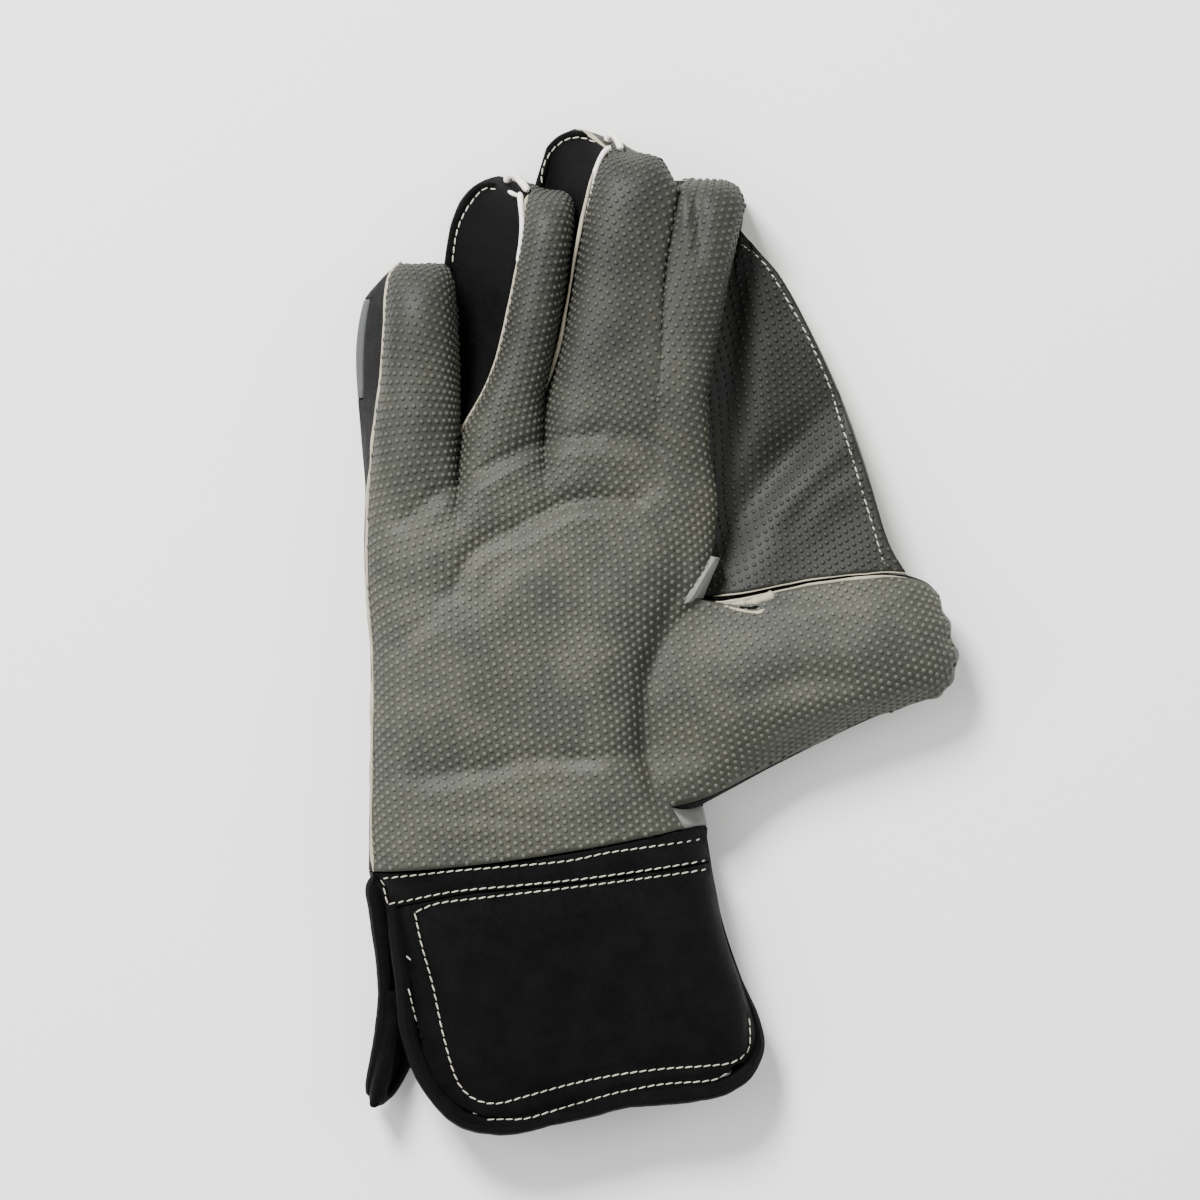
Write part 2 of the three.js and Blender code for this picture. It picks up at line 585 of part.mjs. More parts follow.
function cuffRow(along) {
  const left = pick(CUFF_SIDES, 'left', along);
  const right = pick(CUFF_SIDES, 'right', along);
  const curl = pick(CUFF_SIDES, 'curl', along);
  const crown = lerp(PALM_HEIGHT * PALM_CROWN[0].height, CUFF_MOUTH_HEIGHT, smooth(along));
  const edge = lerp(PALM_HEIGHT * PALM_LEFT_HEIGHT, CUFF_EDGE_HEIGHT, smooth(along));
  const front = wristPlaces.map((line) => {
    const arch = Math.sqrt(1 - Math.abs(2 * line - 1) ** CUFF_ARCH);
    const y = cuffY(wristY(line), pick(FRONT_DROP, 'drop', line), along);
    return point(at(HAND_WIDTH * lerp(left, right, line), y, lerp(edge, crown, arch)));
  });
  const curlEdge = lerp(BACK_EDGE_RISE, CURL_EDGE_RISE, smooth(along));
  const back = palmBack[0].map((_, i) => {
    const share = 1 - i / backSteps;
    const y = cuffY(wristY(share), pick(BACK_DROP, 'drop', share), along);
    const edges = new Map([[0, BACK_EDGE_RISE], [backSteps, curlEdge]]);
    const z = edges.get(i) ?? CUFF_LIFT * smooth(along);
    return point(at(HAND_WIDTH * lerp(curl + CURL_BEND, right, share), y, z));
  });
  const rightFace = points[front.at(-1)];
  const rightBack = points[back[0]];
  const rightSide = [1, 2].map((step) => {
    const place = rightFace.clone().lerp(rightBack, step / WALL_STEPS);
    place.x += CUFF_BULGE * along ** 0.5 * Math.sin(Math.PI * step / WALL_STEPS);
    return point(place);
  });
  const curlTop = lerp(
    PALM_HEIGHT * PALM_LEFT_HEIGHT, CUFF_CURL_HEIGHT, smooth(along / CURL_DOWN_AT));
  const leftSide = [1, 2, 3].map((step) => {
    const share = step / WALL_STEPS;
    const y = cuffY(wristY(0), lerp(BACK_DROP[0].drop, CURL_DROP, share ** 0.5), along);
    const x = HAND_WIDTH * (curl + CURL_BEND * (1 - share) ** 2);
    return point(at(x, y, lerp(curlEdge, curlTop, share)));
  });
  return [...front, ...rightSide, ...back, ...leftSide];
}

const wristRing = [
  ...palmFace[0],
  ...rightPalm[0].column.slice(1, -1),
  ...[...palmBack[0]].reverse(),
  ...[...leftPalm[0].column].reverse().slice(1),
];
const cuffRows = [wristRing, ...CUFF_SIDES.slice(1).map((row) => cuffRow(row.along))];
const lastFrontStep = faceSteps + WALL_STEPS - 1;
cuffRows.slice(1).forEach((row, index) => {
  const pieceOf = (i) => {
    if (i >= lastFrontStep) {
      return 'cuff_back';
    }
    return index === 0 ? 'cuff_band' : 'cuff_front';
  };
  band(pieceOf, row, cuffRows[index]);
});

// The direction out of the skin at each of its points, the same for all pieces that meet
// there. Each of those pieces has an equal say.
function skinNormals(list, triangles) {
  const facing = triangles.map(({ corners: [a, b, c] }) => {
    const normal = list[b].clone().sub(list[a]).cross(list[c].clone().sub(list[a]));
    return normal.normalize();
  });
  const shares = list.map(() => new Map());
  triangles.forEach(({ piece, corners }, index) => {
    corners.forEach((corner, order) => {
      const next = list[corners[(order + 1) % 3]].clone().sub(list[corner]);
      const last = list[corners[(order + 2) % 3]].clone().sub(list[corner]);
      if (!shares[corner].has(piece)) {
        shares[corner].set(piece, at(0, 0, 0));
      }
      shares[corner].get(piece).addScaledVector(facing[index], next.angleTo(last));
    });
  });
  const normals = shares.map((own) => {
    const sum = at(0, 0, 0);
    own.forEach((share) => sum.add(share.normalize()));
    return sum.normalize();
  });
  return { normals, facing, shares };
}

// For each point on a piece's border, the way along the surface towards the piece's inside.
function borderWays(list, triangles, facing) {
  const directed = new Set();
  triangles.forEach(({ corners }) => {
    corners.forEach((corner, order) => directed.add(`${corner},${corners[(order + 1) % 3]}`));
  });
  const ways = new Map();
  const edges = [];
  triangles.forEach(({ corners }, index) => {
    corners.forEach((from, order) => {
      const to = corners[(order + 1) % 3];
      if (directed.has(`${to},${from}`)) {
        return;
      }
      edges.push([from, to]);
      const way = facing[index].clone().cross(list[to].clone().sub(list[from]).normalize());
      [from, to].forEach((end) => ways.set(end, [...(ways.get(end) ?? []), way]));
    });
  });
  const inwards = new Map();
  ways.forEach((own, end) => {
    const sum = own.reduce((total, way) => total.add(way), at(0, 0, 0)).normalize();
    const share = Math.max(SHARPEST_CORNER, Math.min(...own.map((way) => way.dot(sum))));
    inwards.set(end, sum.multiplyScalar(1 / share));
  });
  return { inwards, edges };
}

function closedGeometry(coordinates, corners) {
  const geometry = new THREE.BufferGeometry();
  geometry.setAttribute('position', new THREE.Float32BufferAttribute(coordinates, 3));
  geometry.setIndex(corners);
  geometry.computeVertexNormals();
  return geometry;
}

function solid(name, positions, triangles, [colour, roughness]) {
  const geometry = closedGeometry(positions.flatMap((place) => place.toArray()), triangles.flat());
  const material = new THREE.MeshStandardMaterial({ color: colour, roughness, metalness: 0 });
  const mesh = new THREE.Mesh(geometry, material);
  mesh.name = name;
  return mesh;
}

// One piece of a skin as a closed wall, a little back from its seams. thicknessAt gives the
// wall's thickness at each point.
function wall(name, list, triangles, normals, thicknessAt, look) {
  const { facing } = skinNormals(list, triangles);
  const { inwards, edges } = borderWays(list, triangles, facing);
  const order = new Map();
  const positions = [];
  triangles.forEach(({ corners }) => corners.forEach((corner) => {
    if (order.has(corner)) {
      return;
    }
    const place = list[corner].clone();
    if (inwards.has(corner)) {
      place.addScaledVector(inwards.get(corner), SEAM_GAP / 2);
    }
    order.set(corner, positions.length);
    positions.push(place, place.clone().addScaledVector(normals[corner], -thicknessAt(corner)));
  }));
  const closed = [];
  triangles.forEach(({ corners }) => {
    const [a, b, c] = corners.map((corner) => order.get(corner));
    closed.push([a, b, c], [a + 1, c + 1, b + 1]);
  });
  edges.forEach(([from, to]) => {
    const [a, b] = [order.get(from), order.get(to)];
    closed.push([b, a, a + 1], [b, a + 1, b + 1]);
  });
  return solid(name, positions, closed, look);
}

// A closed roll of round section along a list of points.
function roll(name, path, width, look) {
  const steps = path.length - 1;
  const positions = [];
  const closed = [];
  let up = at(0, 0, 1);
  path.forEach((centre, row) => {
    const way = path[Math.min(steps, row + 1)].clone().sub(path[Math.max(0, row - 1)]).normalize();
    up = up.clone().addScaledVector(way, -up.dot(way)).normalize();
    const aside = way.clone().cross(up);
    for (let side = 0; side < ROLL_SIDES; side += 1) {
      const angle = 2 * Math.PI * side / ROLL_SIDES;
      positions.push(centre.clone()
        .addScaledVector(up, Math.cos(angle) * width / 2)
        .addScaledVector(aside, Math.sin(angle) * width / 2));
    }
  });
  const index = (row, side) => row * ROLL_SIDES + (side % ROLL_SIDES);
  for (let row = 0; row < steps; row += 1) {
    for (let side = 0; side < ROLL_SIDES; side += 1) {
      const [a, b] = [index(row, side), index(row, side + 1)];
      const [c, d] = [index(row + 1, side + 1), index(row + 1, side)];
      closed.push([a, b, c], [a, c, d]);
    }
  }
  for (let side = 1; side + 1 < ROLL_SIDES; side += 1) {
    closed.push([index(0, 0), index(0, side + 1), index(0, side)]);
    closed.push([index(steps, 0), index(steps, side), index(steps, side + 1)]);
  }
  return solid(name, positions, closed, look);
}

function toManifold(mesh, shift = [0, 0, 0]) {
  const bare = mesh.geometry.clone().translate(...shift);
  bare.deleteAttribute('normal');
  const merged = mergeVertices(bare);
  return new wasm.Manifold(new wasm.Mesh({
    numProp: 3,
    vertProperties: new Float32Array(merged.attributes.position.array),
    triVerts: new Uint32Array(merged.index.array),
  }));
}

const CUT_WAYS = [[1, 0, 0], [-1, 0, 0], [0, 1, 0], [0, -1, 0], [0, 0, 1], [0, 0, -1]];

// A mesh with others cut away from it, and a gap round them. Only its largest body is kept.
function cutBy(mesh, others) {
  const copies = others.flatMap((other) => CUT_WAYS.map(
    (way) => toManifold(other, way.map((value) => value * CUT_GAP))));
  const rest = toManifold(mesh).subtract(wasm.Manifold.union(copies)).simplify(CUT_TOLERANCE);
  const bodies = rest.decompose().sort((a, b) => b.volume() - a.volume());
  const { vertProperties, triVerts } = bodies[0].getMesh();
  mesh.geometry = closedGeometry(vertProperties, [...triVerts]);
  return mesh;
}

const { normals: outwards, shares: meeting } = skinNormals(points, faces);
const WALLS = table(['name', 'thickness', 'look'], [
  ['palm_facing', RUBBER_WALL, 'rubber'],
  ['glove_back', BACK_PADDING, 'leather'],
  ['outer_side', LEATHER_WALL, 'leather'],
  ['side_patch', LEATHER_WALL, 'patch'],
  ['fourchette_little_ring', LEATHER_WALL, 'leather'],
  ['fourchette_ring_middle', LEATHER_WALL, 'leather'],
  ['fourchette_middle_index', LEATHER_WALL, 'leather'],
  ['index_side', LEATHER_WALL, 'leather'],
  ['crotch_tab', LEATHER_WALL, 'suede'],
  ['thumb_side', LEATHER_WALL, 'leather'],
  ['wrist_gusset', LEATHER_WALL, 'suede'],
  ['cuff_band', CUFF_PADDING, 'leather'],
  ['cuff_front', CUFF_PADDING, 'leather'],
  ['cuff_back', CUFF_PADDING, 'leather'],
]);
const thicknessOf = Object.fromEntries(WALLS.map((row) => [row.name, row.thickness]));

// The side walls are skived where they turn tightly round a fingertip.
const tipWalls = new Map();
fingers.forEach(({ face }) => [0, face[0].length - 1].forEach((side) => {
  TIP_WALLS.forEach((thickness, index) => {
    stationAt.get(face.at(-1 - index)[side]).column.forEach((corner) => tipWalls.set(corner, thickness));
  });
}));

// At a seam every piece is skived to the thinnest of those that meet there.
function skinWall(name) {
  const { thickness, look } = WALLS.find((row) => row.name === name);
  const own = faces.filter((face) => face.piece === name);
  const thicknessAt = (corner) => Math.min(
    thickness, tipWalls.get(corner) ?? thickness,
    ...[...meeting[corner].keys()].map((piece) => thicknessOf[piece]));
  return wall(name, points, own, outwards, thicknessAt, COLOURS[look]);
}

// The web, from the index finger's side to the thumb's. Its free edge bows outwards.
const WEB_FIRST_SECTION = 4;
const WEB_BOW = table(['along', 'bow'], [
  [0, 0], [0.083, 0.013], [0.174, 0.03], [0.274, 0.035], [0.378, 0.037], [0.486, 0.036],
  [0.606, 0.026], [0.726, 0.014], [0.835, -0.001], [0.93, -0.012], [1, 0],
]);
// How far below the seam the web meets the side walls, as a share of their height.
const WEB_DEPTH = { index: 0.5, crotch: 0.34, thumb: 0.12 };
const WEB_POCKET_DEPTH = 7;
const WEB_TOP_WIDTH = 0.8;

function besideWall({ column, outward }, share) {
  const step = Math.min(WALL_STEPS - 1, Math.floor(share * WALL_STEPS));
  const place = points[column[step]].clone().lerp(points[column[step + 1]], share * WALL_STEPS - step);
  return place.addScaledVector(outward, WEB_GAP);
}

const indexRun = RUNS.find(([name]) => name === 'index_side')[1];
const webStations = indexRun.slice(FINGERS[3].sections.length - WEB_FIRST_SECTION);
const webSteps = webStations.length - 1;
const webLeft = webStations.map((current, i) => besideWall(
  current, lerp(WEB_DEPTH.index, WEB_DEPTH.crotch, smooth(i / webSteps))));
const webSeam = thumbTop.slice(0, -2).map((current, i, run) => besideWall(
  current, lerp(WEB_DEPTH.crotch, WEB_DEPTH.thumb, smooth(2 * i / run.length))));
const webPlane = webLeft.map((left, row) => {
  const along = row / webSteps;
  const start = webLeft[0].clone().add(at(WEB_TOP_WIDTH, 0, 0));
  const end = webSeam.at(-1);
  const chord = end.clone().sub(start);
  const side = at(-chord.y, chord.x, 0).normalize();
  const edge = start.clone().lerp(end, along);
  edge.addScaledVector(side, chord.length() * pick(WEB_BOW, 'bow', along));
  return Array.from({ length: WEB_STEPS_ACROSS + 1 }, (_, i) => {
    const across = i / WEB_STEPS_ACROSS;
    const seamPlace = across * (webSeam.length - 1);
    const seamIndex = Math.min(webSeam.length - 2, Math.floor(seamPlace));
    const seam = webSeam[seamIndex].clone().lerp(webSeam[seamIndex + 1], seamPlace - seamIndex);
    const flat = webLeft.at(-1).clone().lerp(end, across);
    const place = left.clone().lerp(edge, across);
    place.addScaledVector(seam.sub(flat), along);
    place.z -= WEB_POCKET_DEPTH * Math.sin(Math.PI * across) * Math.sin(Math.PI * along) * along;
    return place;
  });
});
const webPoints = webPlane.flat();
const webFaces = [];
for (let row = 0; row < webSteps; row += 1) {
  for (let i = 0; i < WEB_STEPS_ACROSS; i += 1) {
    const a = row * (WEB_STEPS_ACROSS + 1) + i;
    const d = a + WEB_STEPS_ACROSS + 1;
    webFaces.push({ corners: [d, d + 1, a + 1] }, { corners: [d, a + 1, a] });
  }
}
const webNormals = skinNormals(webPoints, webFaces).normals;
const web = wall('thumb_web', webPoints, webFaces, webNormals, () => RUBBER_WALL, COLOURS.rubber);

// The narrow side pieces give way where a wide piece turns tightly at a crotch or a tip.
const glove = new THREE.Group();
const WHOLE = ['palm_facing', 'glove_back', 'cuff_band', 'cuff_front', 'cuff_back'];
const cutters = [skinWall('palm_facing'), skinWall('glove_back'), web];
WALLS.forEach(({ name }) => {
  glove.add(WHOLE.includes(name) ? skinWall(name) : cutBy(skinWall(name), cutters));
});
glove.add(web);

// The binding that rolls round the cuff's free edge. It rests on the surface where it is lowest.
function edgePath(piece, ring) {
  const own = faces.filter((face) => face.piece === piece);
  const { facing } = skinNormals(points, own);
  const { inwards } = borderWays(points, own, facing);
  return ring.map((index) => {
    const place = points[index].clone()
      .addScaledVector(outwards[index], -CUFF_PADDING / 2)
      .addScaledVector(inwards.get(index), -(BINDING_WIDTH / 2 + TRIM_GAP));
    place.z = Math.max(place.z, BINDING_WIDTH / 2);
    return place;
  });
}

const lastRow = cuffRows.at(-1);
const frontEdge = [
  ...cuffRows.slice(2, -1).map((row) => row[0]),
  ...lastRow.slice(0, lastFrontStep),
];
const backEdge = [
  ...lastRow.slice(lastFrontStep + 1),
  ...cuffRows.slice(2, -1).reverse().map((row) => row.at(-1)),
];
const bindingPath = [...edgePath('cuff_front', frontEdge), ...edgePath('cuff_back', backEdge)];
const binding = roll('cuff_binding', bindingPath, BINDING_WIDTH, COLOURS.leather);
glove.add(cutBy(binding, [skinWall('cuff_front'), skinWall('cuff_back')]));

// White piping on the left seam of the ring and middle finger, and its end in a loop.
const LOOP = table(['x', 'y', 'z'], [[-7.5, 2.5, -2], [-5.6, 5.2, 0], [-3.4, 5.2, 1], [-0.6, 2.4, 1.5]]);

[['ring', 1, 4], ['middle', 2, 4]].forEach(([name, order, first]) => {
  const seam = fingerSide(order, 'left').slice(first).map(({ face }) => points[face].clone()
    .addScaledVector(outwards[face], PIPING_WIDTH / 2 + TRIM_GAP));
  glove.add(roll(`seam_piping_${name}`, seam, PIPING_WIDTH, COLOURS.piping));
  const tip = points[fingerSide(order, 'left').at(-1).face];
  const loop = LOOP.map((row) => at(tip.x + row.x, tip.y + row.y, tip.z + row.z));
  glove.add(roll(`tip_loop_${name}`, loop, PIPING_WIDTH, COLOURS.piping));
});

// The origin is under the middle of the glove, on the surface that it lies on.
const box = new THREE.Box3().setFromObject(glove);
glove.position.set(-(box.min.x + box.max.x) / 2, -(box.min.y + box.max.y) / 2, -box.min.z);
glove.updateMatrixWorld(true);

export default glove;
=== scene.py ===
"""A worn right-hand wicketkeeping glove, lying on its back with its rubber palm up."""
import json
import math

import bmesh
import bpy
import numpy as np
from bpy.props import FloatProperty, FloatVectorProperty, IntProperty, PointerProperty
from mathutils import Matrix, Vector, noise
from mathutils.bvhtree import BVHTree

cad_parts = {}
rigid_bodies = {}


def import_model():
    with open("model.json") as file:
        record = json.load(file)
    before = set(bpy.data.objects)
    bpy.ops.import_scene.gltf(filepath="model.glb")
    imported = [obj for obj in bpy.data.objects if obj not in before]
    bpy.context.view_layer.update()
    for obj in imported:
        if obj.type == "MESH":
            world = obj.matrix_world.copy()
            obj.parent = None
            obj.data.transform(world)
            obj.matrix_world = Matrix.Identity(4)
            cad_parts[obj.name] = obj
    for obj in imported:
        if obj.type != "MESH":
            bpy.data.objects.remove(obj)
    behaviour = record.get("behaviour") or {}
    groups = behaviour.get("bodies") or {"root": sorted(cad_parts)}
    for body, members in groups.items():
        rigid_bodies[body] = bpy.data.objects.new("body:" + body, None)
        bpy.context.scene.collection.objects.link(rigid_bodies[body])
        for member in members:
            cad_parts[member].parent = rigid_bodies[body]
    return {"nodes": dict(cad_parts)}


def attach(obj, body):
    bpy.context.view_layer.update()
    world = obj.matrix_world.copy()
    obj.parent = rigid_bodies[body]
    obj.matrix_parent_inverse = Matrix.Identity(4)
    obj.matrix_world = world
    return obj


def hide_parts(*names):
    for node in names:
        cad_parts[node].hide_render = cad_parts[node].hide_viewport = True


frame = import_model()

bl_info = {
    "name": "Wicketkeeping glove",
    "version": (1, 0, 0),
    "blender": (4, 5, 0),
    "location": "View3D > Sidebar > Glove",
    "description": "Builds the rubber, leather, trim and stitching of a wicketkeeping glove",
    "category": "Object",
}

MM = 0.001
MERGE = 0.01 * MM
# What the noise that scatters the pips and roughens the edges starts from
NOISE_SEED = 3
# Takes the height out of places
FLAT = (1, 1, 0)
# A wall's outer surface ends where it turns more sharply than this.
RIM_ANGLE = math.radians(55)
RIM_CREASE = 0.97


def linear(code):
    """An sRGB colour such as "#6b6b64" as linear red, green and blue."""
    parts = [int(code[i:i + 2], 16) / 255 for i in (1, 3, 5)]
    return tuple(c / 12.92 if c <= 0.04045 else ((c + 0.055) / 1.055) ** 2.4 for c in parts)


def table(columns, rows):
    """Rows of values as dictionaries, by the name of each column."""
    return [dict(zip(columns, row)) for row in rows]


# Sizes and colours that a user would change


def length(name, description, size_mm):
    return FloatProperty(name=name, description=description, default=size_mm * MM, unit="LENGTH")


def colour(name, description, code):
    return FloatVectorProperty(
        name=name, description=description, default=linear(code), subtype="COLOR", min=0, max=1)


class RubberSettings(bpy.types.PropertyGroup):
    pip_pitch: length("Pip pitch", "From one pip to the next along a column", 2.6)
    pip_columns: length("Column pitch", "From one column of pips to the next", 2.12)
    pip_width: length("Pip width", "Width of a pip at its foot", 1.5)
    pip_height: length("Pip height", "How far a pip stands up", 0.45)
    pip_scatter: length("Pip scatter", "How far a pip may lie from its even place", 0.14)
    edge_margin: length("Bare edge", "Rubber without pips along its edge", 0.7)
    colour: colour("Rubber", "Colour of the rubber between the pips", "#373833")
    pip_colour: colour("Pips", "Colour of the pips' rubbed tops", "#4a4b45")
    # The web's rubber and pips are darkened to this share of the palm's colour: painted shade, for the
    # shadow that the index finger and palm cast over the web
    web_painted_shade: FloatProperty(name="Web painted shade", description="The web's colour, as a share of "
                             "the palm's", default=0.3, min=0, max=1)
    backing: colour("Backing", "Colour of the cotton behind the rubber", "#a39d89")


class LeatherSettings(bpy.types.PropertyGroup):
    grain: length("Grain", "Width of one pebble of the grain", 1.1)
    quilt_depth: length("Seam depth", "How far a stitched line sinks into the padding", 0.7)
    quilt_width: length("Seam width", "How wide the padding turns down to a stitched line", 2.2)
    padding: length("Padding", "How far the cuff's panel stands up inside its border", 1.5)
    colour: colour("Leather", "Colour of the leather", "#050506")
    suede: colour("Suede", "Colour of the wrist's suede", "#666861")
    patch: colour("Patch", "Colour of the plain side patch", "#2f3134")


class StitchSettings(bpy.types.PropertyGroup):
    thread: length("Thread", "Width of the sewing thread", 0.5)
    pitch: length("Stitch pitch", "From one stitch to the next", 2.75)
    fine_pitch: length("Fine pitch", "The same on the fingers and the web", 2.6)
    colour: colour("Thread", "Colour of the sewing thread", "#b4afa0")
    piping: colour("Piping", "Colour of the fingertips' piping", "#e4e0d8")


class StudioSettings(bpy.types.PropertyGroup):
    floor: colour("Floor", "Colour of the floor", "#f4f4f2")
    camera_height: FloatProperty(name="Camera height", description="Height above the floor",
                                 default=2.2, unit="LENGTH")
    view_width: FloatProperty(name="View width", description="Width of what the camera sees",
                              default=0.36, unit="LENGTH")
    floor_size: IntProperty(name="Floor size", description="Side of the floor, in metres", default=8)


# Meshes


def finished(name, mesh, finishes):
    """A new piece with its finishes, that moves with the glove."""
    piece = bpy.data.objects.new(name, mesh)
    bpy.context.collection.objects.link(piece)
    for finish in finishes:
        mesh.materials.append(finish_of(finish))
    mesh.shade_smooth()
    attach(piece, "root")
    return piece


def shell(bm, from_below=False):
    """The faces of a wall's outer surface, from its highest or lowest face to its rim."""
    way = -1 if from_below else 1
    start = max(bm.faces, key=lambda face: way * face.calc_center_median().z)
    outer, waiting = {start}, [start]
    while waiting:
        for edge in waiting.pop().edges:
            if len(edge.link_faces) == 2 and edge.calc_face_angle(0) < RIM_ANGLE:
                for face in edge.link_faces:
                    if face not in outer:
                        outer.add(face)
                        waiting.append(face)
    return outer


def wall_cage(node, from_below=False):
    """A CAD wall's mesh in quads, with its rims creased and its outer faces marked."""
    bm = bmesh.new()
    bm.from_mesh(frame["nodes"][node].data)
    bmesh.ops.remove_doubles(bm, verts=bm.verts, dist=MERGE)
    bmesh.ops.join_triangles(bm, faces=bm.faces, angle_face_threshold=math.radians(35),
                             angle_shape_threshold=math.radians(120))
    bm.normal_update()
    outer_layer = bm.faces.layers.int.new("outer")
    rim_layer = bm.faces.layers.int.new("rim")
    for face in shell(bm, from_below):
        face[outer_layer] = 1
    for face in bm.faces:
        beside = sum(1 for edge in face.edges for other in edge.link_faces if other[outer_layer])
        face[rim_layer] = int(not face[outer_layer] and beside > 0)
    creases = bm.edges.layers.float.new("crease_edge")
    for edge in bm.edges:
        if len(edge.link_faces) == 2 and edge.calc_face_angle(0) > RIM_ANGLE:
            edge[creases] = RIM_CREASE
    return bm


def cage_object(bm, name):
    """A cage as an object of the scene, which the next steps read and then remove."""
    mesh = bpy.data.meshes.new(name + "_cage")
    bm.to_mesh(mesh)
    bm.free()
    cage = bpy.data.objects.new(name + "_cage", mesh)
    bpy.context.collection.objects.link(cage)
    return cage


def rounded(cage, name, levels):
    """The mesh of a cage after so many rounds of subdivision, with its fingertips in place."""
    modifier = cage.modifiers.new("Round", "SUBSURF")
    modifier.levels = levels
    modifier.render_levels = levels
    modifier.use_limit_surface = False
    found = cage.evaluated_get(bpy.context.evaluated_depsgraph_get())
    smooth = bpy.data.meshes.new_from_object(found)
    smooth.name = name
    bpy.data.objects.remove(cage)
    shift_tips(smooth)
    return smooth


def unwrapped(cage):
    """Lays the outer surface of a cage out flat, in a UV map."""
    mesh = cage.data
    mesh.uv_layers.active = mesh.uv_layers.new(name="flat")
    outer = values(mesh, "outer")
    bpy.context.view_layer.objects.active = cage
    bpy.ops.object.mode_set(mode="EDIT")
    bpy.ops.mesh.select_mode(type="FACE")
    bpy.ops.mesh.select_all(action="DESELECT")
    bpy.ops.object.mode_set(mode="OBJECT")
    mesh.polygons.foreach_set("select", outer.astype(bool))
    bpy.ops.object.mode_set(mode="EDIT")
    bpy.ops.uv.unwrap(method="MINIMUM_STRETCH", fill_holes=False, iterations=40)
    bpy.ops.object.mode_set(mode="OBJECT")
    return cage


def gathered(items, key, width, kind=float):
    """One value of each item, as rows of so many numbers."""
    found = np.zeros(len(items) * width, kind)
    items.foreach_get(key, found)
    return found.reshape(-1, width)


def values(mesh, name):
    """A whole number of each face, by the attribute's name."""
    return gathered(mesh.attributes[name].data, "value", 1, int)[:, 0]


def places(mesh):
    return gathered(mesh.vertices, "co", 3)


def normals(mesh):
    return gathered(mesh.vertex_normals, "vector", 3)


def move(mesh, new_places):
    mesh.vertices.foreach_set("co", new_places.ravel())
    mesh.update()


# How far up the glove the fingertips' outline lies from the CAD's, about a place, in millimetres
TIP_SHIFTS = table(("x", "y", "radius", "up"), [
    (-7.5, 149, 8, -3.0),
    (-26, 148, 8, 1.8),
    (-50, 134, 8, 1.2),
    (-32.5, 135, 7, -2.2),
])


def shift_tips(mesh):
    """Moves the fingertips up or down the glove."""
    at = places(mesh)
    for row in TIP_SHIFTS:
        away = np.hypot(at[:, 0] - row["x"] * MM, at[:, 1] - row["y"] * MM) / (row["radius"] * MM)
        at[:, 1] += row["up"] * MM * np.exp(-away ** 2)
    move(mesh, at)


def border(mesh):
    """The closed line round a wall's outer surface, as places in order."""
    bm = bmesh.new()
    bm.from_mesh(mesh)
    outer = bm.faces.layers.int["outer"]
    beside = {}
    for edge in bm.edges:
        if len(edge.link_faces) == 2 and edge.link_faces[0][outer] != edge.link_faces[1][outer]:
            one, other = (vertex.index for vertex in edge.verts)
            beside.setdefault(one, []).append(other)
            beside.setdefault(other, []).append(one)
    lines, waiting = [], set(beside)
    while waiting:
        ends = [i for i in waiting if len(beside[i]) == 1]
        line = [min(ends or waiting)]
        while line[-1] is not None:
            waiting.discard(line[-1])
            line.append(next((i for i in beside[line[-1]] if i in waiting), None))
        lines.append(line[:-1])
    bm.free()
    return places(mesh)[max(lines, key=len)]


def stretch(line, start, end):
    """The part of a closed line between the places nearest to two others, the shorter way."""
    a, b = (int(((line[:, :2] - np.array(spot) * MM) ** 2).sum(1).argmin()) for spot in (start, end))
    forward = np.roll(line, -a, 0)[:(b - a) % len(line) + 1]
    backward = np.roll(line, -b, 0)[:(a - b) % len(line) + 1][::-1]
    return min(forward, backward, key=len)


def nearest(at, line):
    """For each place, how far the nearest place of a line is, the way to it and its number."""
    away, way, number = np.zeros(len(at)), np.zeros(at.shape), np.zeros(len(at), int)
    for start in range(0, len(at), 4000):
        part = slice(start, start + 4000)
        gaps = line[None] - at[part, None]
        lengths = np.sqrt((gaps ** 2).sum(2))
        closest = lengths.argmin(1)
        away[part] = lengths.min(1)
        way[part] = gaps[np.arange(len(closest)), closest]
        number[part] = closest
    return away, way / np.maximum(away, 1e-9)[:, None], number


def cord(name, points, widths, finish):
    """A round cord along places, as wide at each as the widths say."""
    data = bpy.data.curves.new(name, "CURVE")
    data.dimensions = "3D"
    data.bevel_depth = 0.5
    data.bevel_resolution = 2
    data.use_fill_caps = True
    spline = data.splines.new("POLY")
    spline.points.add(len(points) - 1)
    for spot, place, width in zip(spline.points, points, widths):
        spot.co = (*place, 1)
        spot.radius = width
    path = bpy.data.objects.new(name + "_path", data)
    mesh = bpy.data.meshes.new_from_object(path)
    mesh.name = name
    bpy.data.objects.remove(path)
    return finished(name, mesh, [finish])


def widths_along(count, first, last, rough=0.0, end=0.35):
    """Widths from first to last, a little uneven, and narrower at both ends."""
    share = np.linspace(0, 1, count)
    uneven = np.array([noise.noise(Vector((i * 0.21, 7.3, first * 900))) for i in range(count)])
    close = np.minimum(np.arange(count), np.arange(count)[::-1])
    ends = end + (1 - end) * np.clip(close / 2, 0, 1)
    return (first + (last - first) * share) * (1 + rough * uneven) * ends


def surface_of(pieces):
    """One search tree over the triangles of several pieces."""
    corners, faces = [], []
    for piece in pieces:
        mesh = piece.data
        mesh.calc_loop_triangles()
        first = len(corners)
        corners.extend(vertex.co.copy() for vertex in mesh.vertices)
        faces.extend([first + i for i in triangle.vertices] for triangle in mesh.loop_triangles)
    return BVHTree.FromPolygons(corners, faces)


